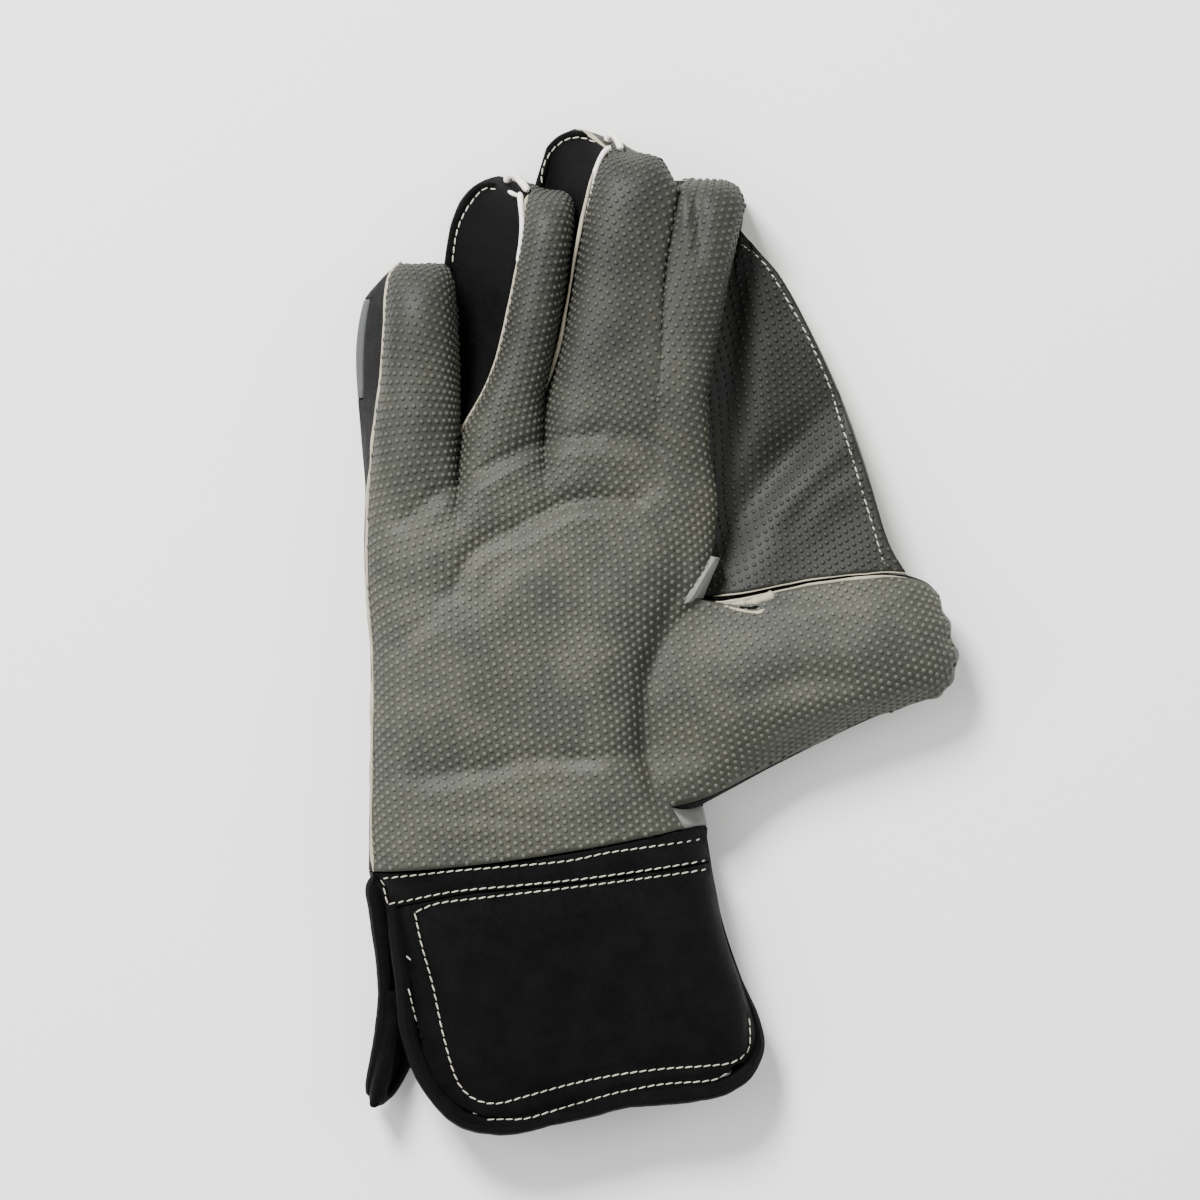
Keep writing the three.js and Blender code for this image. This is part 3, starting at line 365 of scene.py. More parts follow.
def curve_through(points, step):
    """Places at equal steps along a smooth curve through points."""
    points = [Vector(point) for point in points]
    ends = [2 * points[0] - points[1], *points, 2 * points[-1] - points[-2]]
    dense = []
    for a, b, c, d in zip(ends, ends[1:], ends[2:], ends[3:]):
        for i in range(24):
            t = i / 24
            dense.append(0.5 * (2 * b + (c - a) * t + (2 * a - 5 * b + 4 * c - d) * t * t
                                + (3 * b - 3 * c + d - a) * t ** 3))
    dense.append(points[-1])
    lengths = np.cumsum([0] + [(b - a).length for a, b in zip(dense, dense[1:])])
    count = max(1, round(lengths[-1] / step))
    at = np.linspace(0, lengths[-1], count + 1)
    coordinates = np.array([list(point) for point in dense])
    return [Vector([np.interp(s, lengths, coordinates[:, axis]) for axis in range(3)]) for s in at]


def through(points, step_mm=0.8):
    """Close places along a curve through points in millimetres, at height 0 if they have none."""
    made = curve_through([Vector((*point, 0)[:3]) * MM for point in points], step_mm * MM)
    return np.array([list(point) for point in made])


def dropped(points, surface, lift=0.0):
    """Points set down on a surface from above, with the surface's normal at each."""
    found = []
    for point in points:
        hit, normal, _, _ = surface.ray_cast(Vector((point[0], point[1], 0.2)), Vector((0, 0, -1)))
        if hit is not None:
            found.append((hit + normal * lift, normal))
    return found


def copies(name, bm, matrices, finish):
    """One small shape repeated at each matrix, as a single piece."""
    mesh = bpy.data.meshes.new(name + "_one")
    bm.to_mesh(mesh)
    bm.free()
    base = np.c_[places(mesh), np.ones(len(mesh.vertices))]
    faces = [tuple(polygon.vertices) for polygon in mesh.polygons]
    turns = np.array([[list(row) for row in matrix] for matrix in matrices])
    corners = np.einsum("nij,vj->nvi", turns, base)[:, :, :3].reshape(-1, 3)
    many = [tuple(i + n * len(base) for i in face) for n in range(len(matrices)) for face in faces]
    bpy.data.meshes.remove(mesh)
    whole = bpy.data.meshes.new(name)
    whole.from_pydata(corners.tolist(), [], many)
    return finished(name, whole, [finish])


def standing(place, up, along):
    """A frame at a place, with Z along up and X as near as can be to along."""
    up = up.normalized()
    side = up.cross(along).normalized()
    return Matrix.Translation(place) @ Matrix((side.cross(up), side, up)).transposed().to_4x4()


# Materials


def add(tree, kind, inputs=None, **settings):
    """Adds a node, with its settings and with values or links for its inputs."""
    made = tree.nodes.new(kind)
    for key, value in settings.items():
        setattr(made, key, value)
    for key, value in (inputs or {}).items():
        if isinstance(value, bpy.types.NodeSocket):
            tree.links.new(value, made.inputs[key])
        else:
            made.inputs[key].default_value = value
    return made


def per_mm(size):
    """The scale of a pattern on coordinates in metres, from its size in millimetres."""
    return 1000 / size


def blank(name):
    """A material with no nodes but its place on the object."""
    material = bpy.data.materials.new(name)
    material.use_nodes = True
    tree = material.node_tree
    tree.nodes.clear()
    where = add(tree, "ShaderNodeTexCoord").outputs["Object"]
    return material, tree, where


def painted(tree, amount, low, high, dark, light):
    """A colour between two, by where an amount lies between low and high."""
    ramp = add(tree, "ShaderNodeValToRGB", {"Fac": amount})
    ramp.color_ramp.elements[0].position = low
    ramp.color_ramp.elements[0].color = (*dark, 1)
    ramp.color_ramp.elements[1].position = high
    ramp.color_ramp.elements[1].color = (*light, 1)
    return ramp.outputs["Color"]


def principled(tree, inputs):
    """Ends a material in one shader with those values."""
    shader = add(tree, "ShaderNodeBsdfPrincipled", inputs)
    add(tree, "ShaderNodeOutputMaterial", {"Surface": shader.outputs["BSDF"]})


def shade(rgb, factor):
    """A colour made lighter or darker."""
    return tuple(min(1, value * factor) for value in rgb)


def moulded_rubber(name, rgb, wear=1.0):
    """Natural rubber, moulded in a sheet: matt, greyed by dust, darker where it is handled."""
    material, tree, where = blank(name)
    patches = add(tree, "ShaderNodeTexNoise", {"Vector": where, "Scale": per_mm(26), "Detail": 6,
                                               "Roughness": 0.72})
    specks = add(tree, "ShaderNodeTexNoise", {"Vector": where, "Scale": per_mm(1.1), "Detail": 3})
    stain = (rgb[0] * 1.35, rgb[1] * 1.34, rgb[2] * 1.12)
    blotches = painted(tree, patches.outputs["Fac"], 0.36, 0.64, shade(rgb, 1 - 0.42 * wear),
                       shade(stain, 1 + 0.12 * wear))
    # The fingers are soiled more than the palm
    along = add(tree, "ShaderNodeSeparateXYZ", {"Vector": where}).outputs["Y"]
    reach = add(tree, "ShaderNodeMapRange", {"Value": along, "From Min": 20 * MM,
                                             "From Max": 90 * MM, "To Min": 0.0, "To Max": 1.0})
    soiled = painted(tree, reach.outputs["Result"], 0.0, 1.0, (1, 1, 1), (0.46, 0.46, 0.47))
    dust = add(tree, "ShaderNodeMix", {0: 0.35, 6: blotches, 7: painted(
        tree, specks.outputs["Fac"], 0.35, 0.65, shade(rgb, 0.72), shade(rgb, 1.3))},
        data_type="RGBA")
    handled = add(tree, "ShaderNodeMix", {0: 1.0, 6: dust.outputs[2], 7: soiled}, data_type="RGBA",
                  blend_type="MULTIPLY")
    skin = add(tree, "ShaderNodeBump", {"Strength": 0.35, "Distance": 0.05 * MM,
                                        "Height": specks.outputs["Fac"]})
    principled(tree, {"Base Color": handled.outputs[2], "Roughness": 0.6, "IOR": 1.5,
                      "Specular IOR Level": 0.3, "Normal": skin.outputs["Normal"]})
    return material


def pebbled_leather(name, rgb, grain):
    """Cowhide, dyed black and embossed: small raised pebbles with a low gloss on their tops, drawn
    lighter on their tops as painted highlight and darker between them as painted shade.
    """
    material, tree, where = blank(name)
    bent = add(tree, "ShaderNodeTexNoise", {"Vector": where, "Scale": per_mm(1.7), "Detail": 2})
    shifted = add(tree, "ShaderNodeVectorMath", {0: where, 1: bent.outputs["Color"],
                                                 2: (0.0004, 0.0004, 0.0004)},
                  operation="MULTIPLY_ADD")
    pebbles = add(tree, "ShaderNodeTexVoronoi", {"Vector": shifted.outputs[0],
                                                 "Scale": 1 / grain}, feature="SMOOTH_F1")
    creases = add(tree, "ShaderNodeTexNoise", {"Vector": where, "Scale": per_mm(9), "Detail": 7,
                                               "Roughness": 0.65})
    relief = add(tree, "ShaderNodeMath", {0: pebbles.outputs["Distance"], 1: -0.6},
                 operation="MULTIPLY")
    height = add(tree, "ShaderNodeMath", {0: relief.outputs[0], 1: creases.outputs["Fac"]},
                 operation="ADD")
    skin = add(tree, "ShaderNodeBump", {"Strength": 1.0, "Distance": 0.4 * MM,
                                        "Height": height.outputs[0]})
    # The colour follows the grain's height: painted highlight on the pebbles' tops, painted shade in
    # the hollows and creases between them
    tone = painted(tree, height.outputs[0], 0.05, 0.5, shade(rgb, 0.2), shade(rgb, 3.0))
    gloss = add(tree, "ShaderNodeMapRange", {"Value": creases.outputs["Fac"], "From Min": 0.3,
                                             "From Max": 0.7, "To Min": 0.55, "To Max": 0.72})
    principled(tree, {"Base Color": tone, "Roughness": gloss.outputs["Result"], "IOR": 1.5,
                      "Specular IOR Level": 0.08, "Normal": skin.outputs["Normal"]})
    return material


def brushed_suede(name, rgb):
    """Split leather, brushed to a short nap: no gloss, and lighter where the nap lies over."""
    material, tree, where = blank(name)
    nap = add(tree, "ShaderNodeTexNoise", {"Vector": where, "Scale": per_mm(0.5), "Detail": 4})
    strokes = add(tree, "ShaderNodeTexNoise", {"Vector": where, "Scale": per_mm(6), "Detail": 4})
    tone = painted(tree, strokes.outputs["Fac"], 0.3, 0.7, shade(rgb, 0.8), shade(rgb, 1.2))
    skin = add(tree, "ShaderNodeBump", {"Strength": 0.5, "Distance": 0.15 * MM,
                                        "Height": nap.outputs["Fac"]})
    principled(tree, {"Base Color": tone, "Roughness": 0.95, "Sheen Weight": 0.4,
                      "Normal": skin.outputs["Normal"]})
    return material


def twisted_cotton(name, rgb):
    """Cotton thread, twisted from plies: soft, off-white, a little grey with use."""
    material, tree, where = blank(name)
    soil = add(tree, "ShaderNodeTexNoise", {"Vector": where, "Scale": per_mm(9), "Detail": 3})
    plies = add(tree, "ShaderNodeTexWave", {"Vector": where, "Scale": per_mm(1.6),
                                            "Distortion": 1.0}, bands_direction="DIAGONAL")
    tone = painted(tree, soil.outputs["Fac"], 0.3, 0.7, shade(rgb, 0.72), rgb)
    skin = add(tree, "ShaderNodeBump", {"Strength": 0.4, "Distance": 0.1 * MM,
                                        "Height": plies.outputs["Fac"]})
    principled(tree, {"Base Color": tone, "Roughness": 0.85, "Normal": skin.outputs["Normal"]})
    return material


def coated_cord(name, rgb):
    """Cord in a white vinyl cover: smooth, with a soft gloss and a little yellowing."""
    material, tree, where = blank(name)
    soil = add(tree, "ShaderNodeTexNoise", {"Vector": where, "Scale": per_mm(5), "Detail": 4})
    tone = painted(tree, soil.outputs["Fac"], 0.3, 0.65, shade(rgb, 0.78), rgb)
    principled(tree, {"Base Color": tone, "Roughness": 0.5, "IOR": 1.53})
    return material


def woven_tape(name, rgb):
    """Polyester cloth with a coating: a plain fine weave, drawn at 1 mm so that it shows."""
    material, tree, where = blank(name)
    warp = add(tree, "ShaderNodeTexWave", {"Vector": where, "Scale": per_mm(3.2)},
               bands_direction="DIAGONAL")
    weft = add(tree, "ShaderNodeTexWave", {"Vector": where, "Scale": per_mm(3.2)},
               bands_direction="Y")
    both = add(tree, "ShaderNodeMath", {0: warp.outputs["Fac"], 1: weft.outputs["Fac"]},
               operation="MULTIPLY")
    tone = painted(tree, both.outputs[0], 0.05, 0.6, shade(rgb, 0.7), shade(rgb, 1.15))
    skin = add(tree, "ShaderNodeBump", {"Strength": 0.5, "Distance": 0.12 * MM,
                                        "Height": both.outputs[0]})
    principled(tree, {"Base Color": tone, "Roughness": 0.6, "Normal": skin.outputs["Normal"]})
    return material


MADE = {}


def finish_of(name):
    """The material of that name, made once."""
    scene = bpy.context.scene
    rubber, leather, stitch = scene.glove_rubber, scene.glove_leather, scene.glove_stitches
    makers = {
        "moulded rubber": lambda: moulded_rubber("Moulded rubber", tuple(rubber.colour)),
        "rubbed pips": lambda: moulded_rubber("Rubbed rubber pips", tuple(rubber.pip_colour), 0.6),
        # The web's rubber and pips are darker copies of the palm's: painted shade
        "web rubber": lambda: moulded_rubber(
            "Moulded rubber of the web in painted shade", shade(rubber.colour, rubber.web_painted_shade)),
        "web pips": lambda: moulded_rubber(
            "Rubbed rubber pips of the web in painted shade", shade(rubber.pip_colour, rubber.web_painted_shade), 0.6),
        "cotton backing": lambda: twisted_cotton("Cotton backing", tuple(rubber.backing)),
        "black leather": lambda: pebbled_leather(
            "Black pebbled leather", tuple(leather.colour), leather.grain),
        "suede": lambda: brushed_suede("Brushed suede", tuple(leather.suede)),
        "patch": lambda: woven_tape("Coated grey cloth", tuple(leather.patch)),
        "thread": lambda: twisted_cotton("Cotton thread", tuple(stitch.colour)),
        "piping": lambda: coated_cord("White vinyl piping", tuple(stitch.piping)),
    }
    if name not in MADE:
        MADE[name] = makers[name]()
    return MADE[name]


# Rubber

# Creases pressed into the palm, in millimetres: a groove from one place to another that bows
# to its left, and a soft ridge on its lower side.
PALM_CREASES = table(("x1", "y1", "x2", "y2", "bow", "width", "depth"), [
    (-75, 32, -50, 48, 2, 2.2, 1.5),
    (-50, 48, -19, 58, 3, 2.4, 1.9),
    (-19, 58, 10, 45, 5, 3.0, 1.4),
    (-60, 12, -42, 30, 4, 2.4, 1.5),
    (-42, 30, -6, 39, 4, 2.6, 2.0),
    (-6, 39, 8, 20, 3, 2.4, 1.0),
    (-70, -43, -36, -38, -1, 2.6, 1.3),
    (-36, -38, -5, -36, -1, 2.2, 1.5),
    (6, 10, -2, -38, -4, 3.0, 1.9),
    (-2, -38, 6, -60, -2, 2.6, 1.3),
    (-64, -55, -30, -58, 1, 2.0, 0.7),
    (-72, 70, -62, 66, 0, 2.0, 0.8),
    (-76, -5, -66, 4, 1, 2.4, 0.7),
    (11.6, 135, 13.5, 112, 0, 1.8, 1.7),
    (24, -20, 66, -14, 2, 4.0, 1.2),
    (38, 8.6, 72, 12.4, -1, 1.8, 1.0),
    (30, -38, 62, -24, 1, 2.6, 1.0),
])
# Soft knobs, pushed out of the rubber where the hand has shaped it, in millimetres
PALM_KNOBS = table(("x", "y", "radius", "height"), [
    (26.5, 127, 2.6, 0.9),
    (8.5, 135, 3.0, 0.9),
    (84.5, 8.5, 2.6, 1.2),
    (87, 2, 2.8, 1.5),
    (89.5, -7, 3.0, 1.7),
    (89, -15, 2.6, 1.3),
    (85, -20.5, 2.4, 1.5),
    (72, -24, 5.0, 0.9),
    (52, -34, 6.0, 0.8),
    (-30, 12, 12.0, 1.0),
    (-52, -12, 10.0, 0.9),
    (-12, -8, 10.0, 1.0),
    (-24, 48, 6.0, 0.8),
    (-2, 78, 7.0, 0.9),
    (-28, -24, 8.0, 0.8),
])
# The fine wander of the rubber's surface
WANDER = 0.6 * MM
WANDER_SIZE = 16 * MM
# The knobs start at this height and are full so far above it
KNOB_FOOT, KNOB_RISE = 7 * MM, 6 * MM
# The valley closes above this height, and leaves so wide a line between its sides
VALLEY_FOOT, VALLEY_LINE = 14 * MM, 0.03 * MM


def eased(share):
    """A share from 0 to 1 that starts and ends gently."""
    return share * share * (3 - 2 * share)


def knobbed(mesh, knobs):
    """Pushes soft knobs out of a mesh."""
    at, out = places(mesh), normals(mesh)
    push = np.zeros(len(at))
    for knob in knobs:
        away = np.hypot(at[:, 0] - knob["x"] * MM, at[:, 1] - knob["y"] * MM)
        push += knob["height"] * MM * np.exp(-(away / (knob["radius"] * MM)) ** 2)
    high = np.clip((at[:, 2] - KNOB_FOOT) / KNOB_RISE, 0, 1)
    move(mesh, at + out * (push * high)[:, None])


def closed_valley(mesh, line, gap, reach, rise):
    """Brings the two sides of a slit together along a line, and raises them there."""
    at = places(mesh)
    away, way, _ = nearest(at * FLAT, line)
    close = np.clip(1 - away / reach, 0, 1)
    share = eased(close) * (at[:, 2] > VALLEY_FOOT)
    step = np.minimum(away - VALLEY_LINE, gap * share)
    at += way * np.maximum(step, 0)[:, None]
    at[:, 2] += rise * share
    move(mesh, at)


def drawn_to(mesh, line, reach, pull, flat=False):
    """Pulls the part of a mesh that is near a line towards it."""
    at = places(mesh)
    away, way, _ = nearest(at * FLAT, line * FLAT) if flat else nearest(at, line)
    at += way * np.minimum(pull * np.clip(1 - away / reach, 0, 1), away)[:, None]
    move(mesh, at)


def creased(mesh, creases, lowest, rise):
    """Presses creases down into the part of a mesh that is higher than the lowest place."""
    at = places(mesh)
    drop = np.zeros(len(at))
    for crease in creases:
        a, b = Vector((crease["x1"], crease["y1"])), Vector((crease["x2"], crease["y2"]))
        side = Vector((a.y - b.y, b.x - a.x)).normalized()
        line = through([a, (a + b) / 2 + side * crease["bow"], b])
        away, way, number = nearest(at * FLAT, line)
        share = number / (len(line) - 1)
        fade = np.sin(np.pi * (0.08 + 0.84 * share)) ** 0.6
        below = np.sign(way[:, :2] @ np.array(side)) * away
        width = crease["width"] * MM
        groove = np.exp(-(away / width) ** 2)
        ridge = np.exp(-((below - 1.8 * width) / (1.3 * width)) ** 2)
        drop += crease["depth"] * MM * fade * (groove - 0.6 * ridge)
    wander = np.array([noise.noise(Vector(point) / WANDER_SIZE) for point in at]) * WANDER
    up = np.clip((at[:, 2] - lowest) / rise, 0, 1)
    at[:, 2] -= drop * up + wander * up
    move(mesh, at)


def flat_pattern(mesh):
    """The outer surface's flat layout in metres, its triangles, and their corners in space."""
    outer = values(mesh, "outer").astype(bool)
    uv = gathered(mesh.uv_layers["flat"].data, "uv", 2)
    mesh.calc_loop_triangles()
    loops = np.array([t.loops for t in mesh.loop_triangles if outer[t.polygon_index]])
    corners = np.array([t.vertices for t in mesh.loop_triangles if outer[t.polygon_index]])
    at = places(mesh)
    flat, real = uv[loops], at[corners]
    cross = np.cross(real[:, 1] - real[:, 0], real[:, 2] - real[:, 0])
    sides = flat[:, 1:] - flat[:, :1]
    area = np.abs(sides[:, 0, 0] * sides[:, 1, 1] - sides[:, 0, 1] * sides[:, 1, 0])
    flat = flat * math.sqrt(np.linalg.norm(cross, axis=1).sum() / area.sum())
    # Turned, and mirrored if need be, to lie as the glove does
    a = flat.reshape(-1, 2) - flat.reshape(-1, 2).mean(0)
    b = real.reshape(-1, 3)[:, :2] - real.reshape(-1, 3)[:, :2].mean(0)
    left, _, right = np.linalg.svd(a.T @ b)
    return (a @ left @ right).reshape(-1, 3, 2), real, corners


# The pips' columns lean to the left as they go up, and sway a little
PIP_LEAN = math.radians(6)
PIP_SWAY = 1.6 * MM
PIP_SWAY_SIZE = 30 * MM
# A pip's top, as a share of its foot, the softening of its rim, and how deep its foot is sunk
PIP_TAPER, PIP_RIM, PIP_SUNK = 0.88, 0.17 * MM, 0.1 * MM


def pip_frames(flat, real, out, settings):
    """Frames on a lattice of pips that is even on a flat pattern, from its triangles laid flat,
    their corners in space and the surface's normals there."""
    points = np.c_[flat.reshape(-1, 2), np.zeros(len(flat) * 3)]
    tree = BVHTree.FromPolygons(
        [Vector(p) for p in points], [(3 * i, 3 * i + 1, 3 * i + 2) for i in range(len(flat))])
    pitch, column = settings.pip_pitch, settings.pip_columns
    low, high = points.min(0) - 20 * MM, points.max(0) + 20 * MM
    lean = math.tan(PIP_LEAN)

    def hit(u, v):
        return tree.ray_cast(Vector((u, v, 1)), Vector((0, 0, -1)))[2]

    margin = settings.edge_margin
    around = [(math.cos(a) * margin, math.sin(a) * margin) for a in np.arange(8) * math.pi / 4]
    found = []
    for i in range(int(low[0] / column) - 1, int(high[0] / column) + 2):
        for j in range(int(low[1] / pitch) - 1, int(high[1] / pitch) + 2):
            u, v = i * column, (j + 0.5 * (i % 2)) * pitch
            u -= lean * v
            stray = noise.noise_vector(Vector((u, v, 0)) / PIP_SWAY_SIZE) * PIP_SWAY
            stray += noise.noise_vector(Vector((i * 3.7, j * 3.7, 5.1))) * settings.pip_scatter
            u, v = u + stray.x, v + stray.y
            face = hit(u, v)
            if face is None or any(hit(u + x, v + y) is None for x, y in around):
                continue
            a, b, c = flat[face]
            matrix = np.array([b - a, c - a]).T
            s, t = np.linalg.solve(matrix, np.array((u, v)) - a)
            weights = np.array((1 - s - t, s, t))
            place = weights @ real[face]
            normal = Vector(weights @ out[face])
            worn = 0.9 + 0.25 * noise.noise(Vector(place) / PIP_SWAY_SIZE)
            found.append(standing(Vector(place), normal, Vector((1, 0.01, 0.02)))
                         @ Matrix.Diagonal((1, 1, worn, 1)))
    return found


def pip(settings):
    """One pip: a low stud with a flat rubbed top and a softened rim."""
    bm = bmesh.new()
    depth, radius = settings.pip_height + PIP_SUNK, settings.pip_width / 2
    bmesh.ops.create_cone(bm, cap_ends=True, segments=8, radius1=radius,
                          radius2=radius * PIP_TAPER, depth=depth)
    bmesh.ops.translate(bm, verts=bm.verts, vec=(0, 0, depth / 2 - PIP_SUNK))
    foot = min(bm.faces, key=lambda face: face.calc_center_median().z)
    bmesh.ops.delete(bm, geom=[foot], context="FACES_ONLY")
    top = max(bm.faces, key=lambda face: face.calc_center_median().z)
    bmesh.ops.bevel(bm, geom=list(top.edges), offset=PIP_RIM, segments=1, profile=0.5,
                    affect="EDGES", material=-1)
    return bm


# The web's long diagonal fold, from the thumb's crotch outwards, and its dip beside the index
# finger, in millimetres
WEB_CREASES = table(("x1", "y1", "x2", "y2", "bow", "width", "depth"), [
    (16, 14, 52, 66, 4, 6.0, 3.6),
    (18, 30, 24, 104, -2, 5.0, 2.4),
    (40, 30, 62, 52, 2, 3.0, 0.8),
])
# The soft valley between middle and index finger, and the index finger's edge over the web
VALLEY = [(7.0, 132.2), (5.7, 122.8), (3.1, 108.8), (2.1, 93.8), (1.9, 80.3), (1.1, 70.1)]
INDEX_EDGE = [(25.7, 121.4), (22.7, 108.5), (19.7, 93.5), (17.3, 80.3), (15.8, 71.6),
              (15.8, 59.3), (16.4, 53), (18.5, 34.7), (17, 22.7)]
# How far the valley's sides come together, how wide of it the rubber moves, how far it rises
VALLEY_GAP, VALLEY_REACH, VALLEY_RISE = 2.1 * MM, 7 * MM, 0.5 * MM
# How near the web lies to be drawn to the index finger's edge, and how far it is drawn
WEB_REACH, WEB_PULL = 14 * MM, 3.6 * MM
# The rubber sheets, with the height that their creases start above and the rise that they take
# to reach their full depth
SHEETS = table(("node", "creases", "lowest", "rise", "rubber", "pips"), [
    ("palm_facing", PALM_CREASES, 12 * MM, 8 * MM, "moulded rubber", "rubbed pips"),
    # The web's finishes are darker copies of the palm's, as painted shade
    ("thumb_web", WEB_CREASES, 8 * MM, 4 * MM, "web rubber", "web pips"),
])


# The thumb's seam is right of the first and below the second
THUMB_SEAM = (15 * MM, 30 * MM)


def pale_edges(mesh):
    """Shows the cotton inside the sheet, on its rims to the left and at the thumb's seam; the other
    rims, which face away from the light, keep the rubber's dark colour as painted shade.
    """
    rim, outer = values(mesh, "rim"), values(mesh, "outer")
    for polygon in mesh.polygons:
        at_thumb = polygon.center.x > THUMB_SEAM[0] and polygon.center.y < THUMB_SEAM[1]
        # Rims that face neither left nor, at the thumb's seam, up the glove keep the rubber: painted
        # shade in place of the cotton edge
        pale = rim[polygon.index] and (
            polygon.normal.x < -0.25 or (at_thumb and polygon.normal.y > 0.5))
        polygon.material_index = int(pale or not (outer[polygon.index] or rim[polygon.index]))


class GLOVE_OT_rubber(bpy.types.Operator):
    """The palm's rubber facing and the web, with their pips"""
    bl_idname = "glove.rubber"
    bl_label = "Rubber facing, web and pips"

    def execute(self, context):
        settings = context.scene.glove_rubber
        noise.seed_set(NOISE_SEED)
        for row in SHEETS:
            node = row["node"]
            name = node + "_rubber"
            mesh = rounded(unwrapped(cage_object(wall_cage(node), name)), name, 2)
            if node == "palm_facing":
                closed_valley(mesh, through(VALLEY), VALLEY_GAP, VALLEY_REACH, VALLEY_RISE)
                knobbed(mesh, PALM_KNOBS)
            else:
                drawn_to(mesh, through(INDEX_EDGE), WEB_REACH, WEB_PULL, flat=True)
            creased(mesh, row["creases"], row["lowest"], row["rise"])
            pale_edges(mesh)
            piece = finished(name, mesh, [row["rubber"], "cotton backing"])
            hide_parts(node)
            flat, real, corners = flat_pattern(mesh)
            frames = pip_frames(flat, real, normals(mesh)[corners], settings)
            pips = copies(node + "_pips", pip(settings), frames, row["pips"])
        return {"FINISHED"}


# Leather


def quilted(mesh, lines, depth, width):
    """Sinks stitched lines into the padding beside them."""
    at, out = places(mesh), normals(mesh)
    line = np.array([list(point) for points in lines for point, _ in points])
    sink = depth * np.exp(-(nearest(at, line)[0] / width) ** 2)
    move(mesh, at - out * sink[:, None])


def panel(mesh, outline, height, turn):
    """Raises the padding inside a closed outline, seen from above."""
    at = places(mesh)
    edge = outline[:, :2]
    x, y = at[:, 0], at[:, 1]
    inside = np.zeros(len(at), bool)
    for (x1, y1), (x2, y2) in zip(edge, np.roll(edge, -1, 0)):
        crosses = (y1 > y) != (y2 > y)
        with np.errstate(divide="ignore", invalid="ignore"):
            inside ^= crosses & (x < (x2 - x1) * (y - y1) / (y2 - y1) + x1)
    away = np.sqrt(((at[:, None, :2] - edge[None]) ** 2).sum(2)).min(1)
    up = normals(mesh)[:, 2] > 0.2
    at[:, 2] += up * inside * height * (1 - np.exp(-(away / turn) ** 2))
    move(mesh, at)


LEATHERS = table(("node", "finish", "slot", "levels"), [
    ("glove_back", "black leather", "leather", 2),
    ("outer_side", "black leather", "leather", 2),
    ("side_patch", "patch", "patch", 2),
    ("fourchette_little_ring", "black leather", "leather", 2),
    ("fourchette_ring_middle", "black leather", "leather", 2),
    ("fourchette_middle_index", "black leather", "leather", 2),
    ("index_side", "black leather", "leather", 2),
    ("crotch_tab", "suede", "suede", 2),
    ("thumb_side", "black leather", "leather", 2),
    ("wrist_gusset", "suede", "suede", 2),
    ("cuff_band", "black leather", "leather", 3),
    ("cuff_front", "black leather", "leather", 3),
    ("cuff_back", "black leather", "leather", 2),
    ("cuff_binding", "black leather", "leather", 2),
])

# Stitched lines, each by places that it runs through, seen from above, in millimetres
STITCH_LINES = {
    "band_top": [(-81.6, -73.9), (-59.9, -71.4), (-39.2, -69.7), (-25.4, -68.3), (-11.6, -65.6),
                 (14.2, -62.4)],
    "band_left": [(-81.6, -73.9), (-79.8, -81.7)],
    "band_bottom": [(-79.8, -81.7), (-59.9, -77.6), (-39.2, -75.6), (-25.4, -74.2), (-11.6, -72.5),
                    (15.8, -68.6)],
    "panel": [(-71.6, -83.9), (-64.7, -81.2), (-53, -79.6), (-39.2, -78), (-25.4, -76.4),
              (-11.6, -74.7), (15.8, -71.2)],
    "panel_left": [(-71.6, -83.9), (-69.5, -93.8), (-66.2, -106), (-63.3, -119.9), (-59.9, -132.2),
                   (-56.4, -137.9), (-51.6, -140.6), (-46.1, -140.9), (-39.2, -139.1),
                   (-25.4, -135.3), (-11.6, -132.5), (2.3, -130.7), (16.1, -129.8), (23, -128.9),
                   (27.2, -126.2), (28.4, -122.6), (28.2, -115.7)],
    "edge_left": [(-73.6, -106.6), (-72, -114), (-69.8, -122.3)],
    "edge_bottom": [(-50.3, -146), (-39.2, -145.6), (-32.3, -143.8), (-22.7, -141),
                    (-11.6, -137.9), (2.3, -135.3), (16.1, -134.3), (23, -132.3)],
}

# The rolled binding of the cuff's front flap, from the slit round to its right corner, in
# millimetres
ROLL_WIDTH = 5.6
ROLL = [(-84.6, -140.4, 7.6), (-84.9, -136.4, 9), (-83.8, -130.4, 11.6), (-82.6, -124, 13.2),
        (-81.6, -117, 13.8), (-80.9, -109, 13.6), (-81.4, -98, 14), (-83, -83.3, 16),
        (-83.9, -77, 17.2), (-81.8, -74.8, 18), (-79.4, -77.3, 19), (-77.6, -83.3, 19.8),
        (-76.7, -92.3, 20.2), (-74.9, -106.1, 20.2), (-73.7, -119, 20), (-70.1, -130.4, 19.8),
        (-66.8, -136.4, 19.8), (-62.6, -141.8, 20), (-56.6, -146.3, 20.6), (-47.3, -148, 21.6),
        (-40.1, -147.4, 22.2), (-32, -145.3, 22.5), (-19.1, -142.6, 22.6), (-8.9, -139.9, 22.6),
        (6.5, -138.7, 22.2), (18.5, -136.8, 21), (26, -133, 18), (29.4, -128.4, 15),
        (30.4, -123.4, 12.8), (29.3, -117, 12), (26.8, -110.4, 11.4), (24, -103.6, 11),
        (21.6, -97, 10.8), (19.6, -90, 10.6)]
# How wide the roll is along its way, as a share of its width
ROLL_SLIM = {"way": (0, 0.12, 0.2, 0.88, 1), "share": (0.72, 0.78, 1, 0.95, 0.3)}
